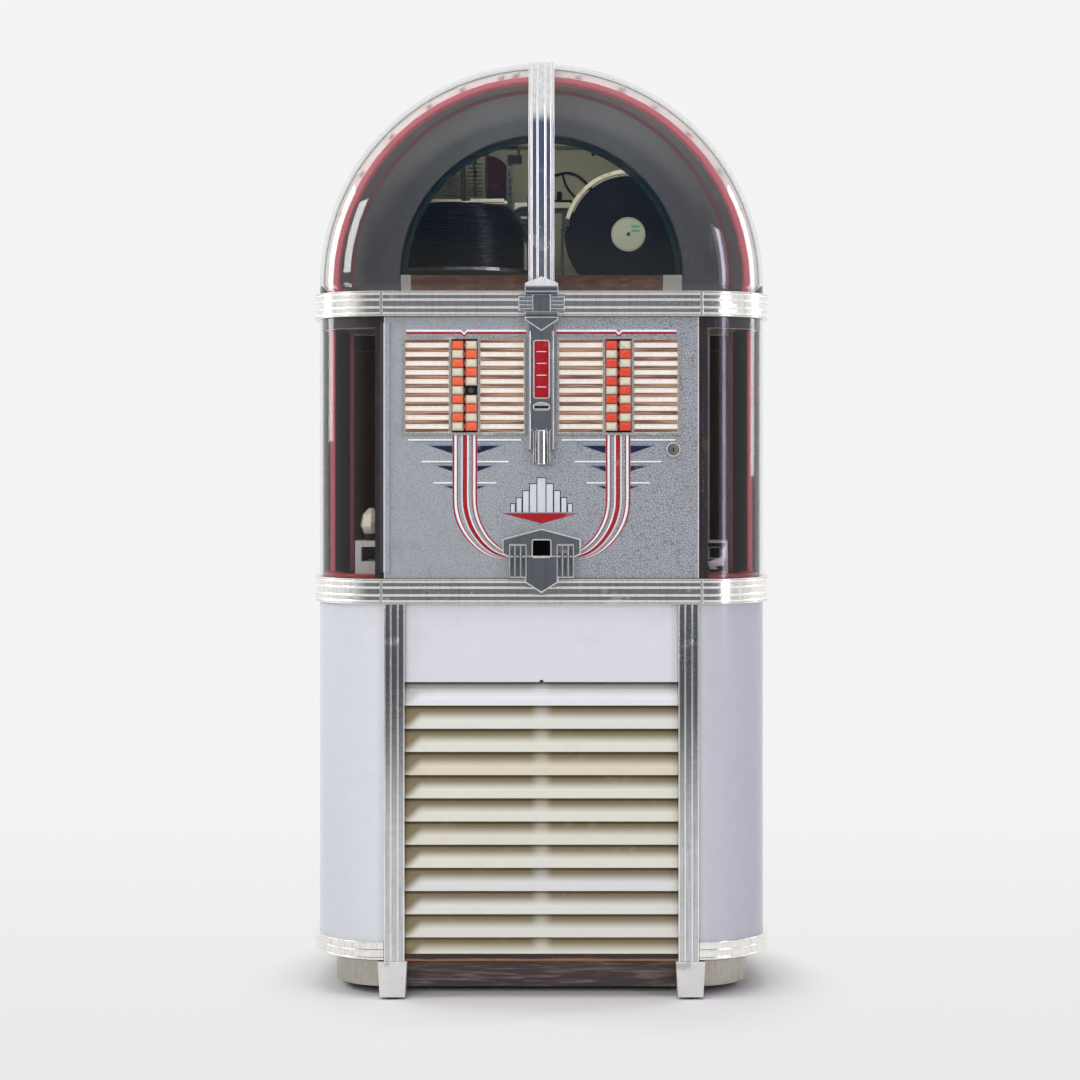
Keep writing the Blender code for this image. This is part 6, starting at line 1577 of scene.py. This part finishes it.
boxes("guardBracket", [
    ((-0.1370, 0.2040, 1.4460), (-0.1040, 0.2110, 1.4545)), ((-0.1098, 0.1185, 1.4460), (-0.1040, 0.2060, 1.4545)),
    ((-0.1098, 0.1185, 1.4460), (-0.0568, 0.1235, 1.4520)),
], 0.0010, darkPaint, "cabinet")
tube("crossRod", [(x, 0.117, 1.5535) for x in (-0.1010, -0.08, -0.06, -0.0420)], 0.0022, darkRubber, "cabinet")
boxes("rackClamp", [
    ((-0.0642, 0.112, 1.5200), (-0.0373, 0.1204, 1.5385)), ((-0.0470, 0.1120, 1.5375), (-0.0425, 0.1190, 1.5560)),
], 0.0012, platedSteel, "cabinet")

# clutch wheel and small levers beside the rack
turned("clutchWheel", [
    (0.0, -0.004), (0.006, -0.004), (0.007, -0.001), (0.024, -0.001), (0.026, -0.005),
    (0.030, -0.005), (0.031, 0.000), (0.031, 0.005), (0.010, 0.005), (0.010, 0.0085), (0.0, 0.0085),
], (-0.0325, 0.1300, 1.4090), "Y", 40, platedSteel, "cabinet")
boxes("clutchLevers", [
    ((-0.0520, 0.1180, 1.3950), (-0.0490, 0.1390, 1.4180)), ((-0.0400, 0.1150, 1.4130), (-0.0130, 0.1190, 1.4190)),
    ((-0.0200, 0.1140, 1.3820), (-0.0140, 0.1390, 1.4140)),
], 0.0010, castAluminium, "cabinet")
boxes("clutchPlate", [
    ((-0.0530, 0.1380, 1.3000), (0.0120, 0.1420, 1.4480)), ((-0.0200, 0.1384, 0.7524), (-0.0030, 0.1424, 1.3050)),
], 0.0016, machineEnamel, "cabinet")

# wiring that loops over the board behind the mechanism: radius, and places across and up
wires = {
    "wireLoopHigh": (0.0024, [
        (0.012, 1.515), (0.040, 1.5290), (0.064, 1.5285), (0.080, 1.5180), (0.092, 1.5060), (0.100, 1.4960)]),
    "wireLoopLow": (0.0021, [(0.044, 1.5270), (0.047, 1.5100), (0.054, 1.4940), (0.066, 1.4820), (0.078, 1.4700)]),
    "wireLoopBack": (0.0018, [(0.052, 1.5290), (0.072, 1.5250), (0.090, 1.5120), (0.104, 1.4860), (0.106, 1.4600)]),
}
for name, (radius, points) in wires.items():
    tube(name, [(x, 0.312 + 0.007 * math.sin(40 * x), z) for x, z in points], radius, darkRubber, "lid")
for name, left, right, yFront, low, high, rounding, material in (
    ("wiringLedge", 0.018, 0.060, 0.296, 1.4540, 1.4660, 0.0015, creamEnamel),
    ("wiringLedgeDark", 0.010, 0.062, 0.294, 1.4658, 1.4705, 0.0008, darkRubber),
):
    boxes(name, [((left, yFront, low), (right, board["y"] + 0.0008, high))], rounding, material, "lid")
tube("wiringPost", [(0.037, 0.304, z) for z in (1.4690, 1.476, 1.482, 1.488)], 0.005, darkRubber, "lid")
print("changer dressed")

# Finishes of the CAD pieces that show as they are
cadFinishes = {
    "cabinet_carcase": cabinetWood,
    "base_skirt": nickel,
    "upper_light_panel": milkyPlastic,
    "louvre_grille": ivoryPlastic,
    "rear_cover": hardboard,
    "speaker": coneFelt,
    "amplifier": platedSteel,
    "mechanism_bed": machineEnamel,
    "drive_motor": darkPaint,
    "magazine_rack": platedSteel,
    "held_record": heldShellac,
    "turntable": darkRubber,
    "tonearm": creamEnamel,
    "lid_hood": hoodPaint,
    "arch_panel": darkPaint,
    "arch_light_strip": redPlastic,
    "door_lock": nickel,
}
for nodeName, material in cadFinishes.items():
    data = nodes[nodeName].data
    data.materials.clear()
    data.materials.append(material)
print("CAD pieces finished")

# Studio: pale floor, soft lamps, and a darker room behind the camera for the plating to mirror
studio = {
    "floor": (0.80, 0.80, 0.80),
    "backdrop": (0.90, 0.90, 0.90),
    "sweep": (0.815, 0.815, 0.81),
    "room": (0.198, 0.208, 0.224),
    "roomHigh": (0.066, 0.096, 0.175),
    "roomLow": (0.085, 0.092, 0.105),
    "fillLeft": (0.46, 0.46, 0.46),
    "fillRight": (0.26, 0.26, 0.27),
    "tones": {"rightStrip": (0.93, 0.90, 1.0), "lilacStrip": (0.84, 0.70, 1.0), "insideLamp": (1.0, 1.0, 0.90)},
    # name, place, target, width, height, power, seen in reflections
    "lamps": (
        ("keyLamp", (-1.9, -3.6, 2.5), (0.0, -0.1, 0.9), 1.8, 2.0, 38, False),
        ("frontLamp", (-0.4, -4.2, 1.5), (0.0, 0.0, 1.2), 1.0, 0.8, 19, False),
        ("fillLamp", (2.4, -2.3, 1.35), (0.0, -0.2, 1.1), 0.9, 1.7, 5.5, True),
        ("lilacStrip", (2.25, -2.15, 1.335), (0.0, -0.2, 1.1), 0.28, 1.6, 12.5, True),
        ("topLamp", (0.0, -0.9, 3.4), (0.0, 0.0, 1.0), 2.4, 1.6, 34, False),
        ("insideLamp", (0.05, -0.10, 1.590), (0.0, 0.25, 1.36), 0.34, 0.05, 0.8, False),
        ("leftCheek", (-2.5, -1.05, 2.05), (-0.3, -0.2, 1.4), 0.60, 1.0, 16, True),
        ("leftStrip", (-2.2, 0.40, 1.72), (-0.35, -0.25, 1.3), 0.50, 1.5, 11, True),
        ("rightStrip", (2.2, 0.45, 1.68), (0.35, -0.25, 1.3), 0.42, 1.6, 11, True),
    ),
}
for name, place, target, width, height, power, reflected in studio["lamps"]:
    lampData = bpy.data.lights.new(name, "AREA")
    lampData.color = studio["tones"].get(name, (1, 1, 1))
    lampData.shape = "RECTANGLE"
    lampData.size = width
    lampData.size_y = height
    lampData.energy = power
    lamp = bpy.data.objects.new(name, lampData)
    lamp.location = place
    lamp.rotation_euler = (Vector(target) - Vector(place)).to_track_quat("-Z", "Y").to_euler()
    lamp.visible_glossy = reflected
    lamp.visible_transmission = reflected
    sceneObjects.link(lamp)

world = bpy.data.worlds.new("studio")
bpy.context.scene.world = world
world.use_nodes = True
sky = NodeSketch(world.node_tree)
x, y, z = sky.add("SeparateXYZ", {0: sky.add("TexCoord").outputs["Generated"]}).outputs
bright = sky.larger(sky.ramp(y, -0.10, 0.25), sky.larger(sky.ramp(y, -0.90, -0.55, 0.0, 0.82), sky.ramp(z, 0.12, 0.50)))
room = sky.mix(sky.ramp(z, 0.080, 0.104), studio["room"], studio["roomHigh"])
room = sky.mix(sky.ramp(z, -0.10, -0.045), studio["roomLow"], room)
path, bounced = sky.bounces()
fill = sky.mix(sky.ramp(x, -0.8, 0.8), studio["fillLeft"], studio["fillRight"])
color = sky.mix(bounced, fill, sky.mix(bright, room, studio["backdrop"]))
color = sky.mix(path["Is Camera Ray"], color, studio["backdrop"])
sky.fill(world.node_tree.nodes["Background"], {"Color": color, "Strength": 1.0})

# floor: shadowed near the cabinet, fading into the backdrop further off
floorMesh = bpy.data.meshes.new("studioFloor")
floorMesh.from_pydata([(-9, -6, 0), (9, -6, 0), (9, 9, 0), (-9, 9, 0)], [], [(0, 1, 2, 3)])
floor = bpy.data.objects.new("studioFloor", floorMesh)
sceneObjects.link(floor)
paper = Finish("floorPaper", studio["floor"], 0.85)
floorMesh.materials.append(paper.done((1.5, 0.02), grain=(60.0, 12.0, 0.0001)))
nearer = paper.vector("ADD", paper.place, (0, 0.22, 0)).outputs[0]
far = paper.ramp(paper.vector("LENGTH", nearer).outputs["Value"], 0.36, 0.56)
sweep = paper.mix(paper.ramp(paper.y, -1.6, 2.5), studio["sweep"], studio["backdrop"])
# the plating sees the floor darken towards the room behind the camera
path, bounced = paper.bounces()
sweep = paper.mix(paper.times(bounced, paper.ramp(paper.y, -1.6, -5.0, 0.0, 1.0)), sweep, studio["roomLow"])
seen = paper.times(far, paper.larger(path["Is Camera Ray"], bounced))
paper.surface(seen, paper.add("Emission", {"Color": sweep, "Strength": 1.0}))
bpy.context.scene.view_settings.view_transform = "Standard"
print("studio lit")
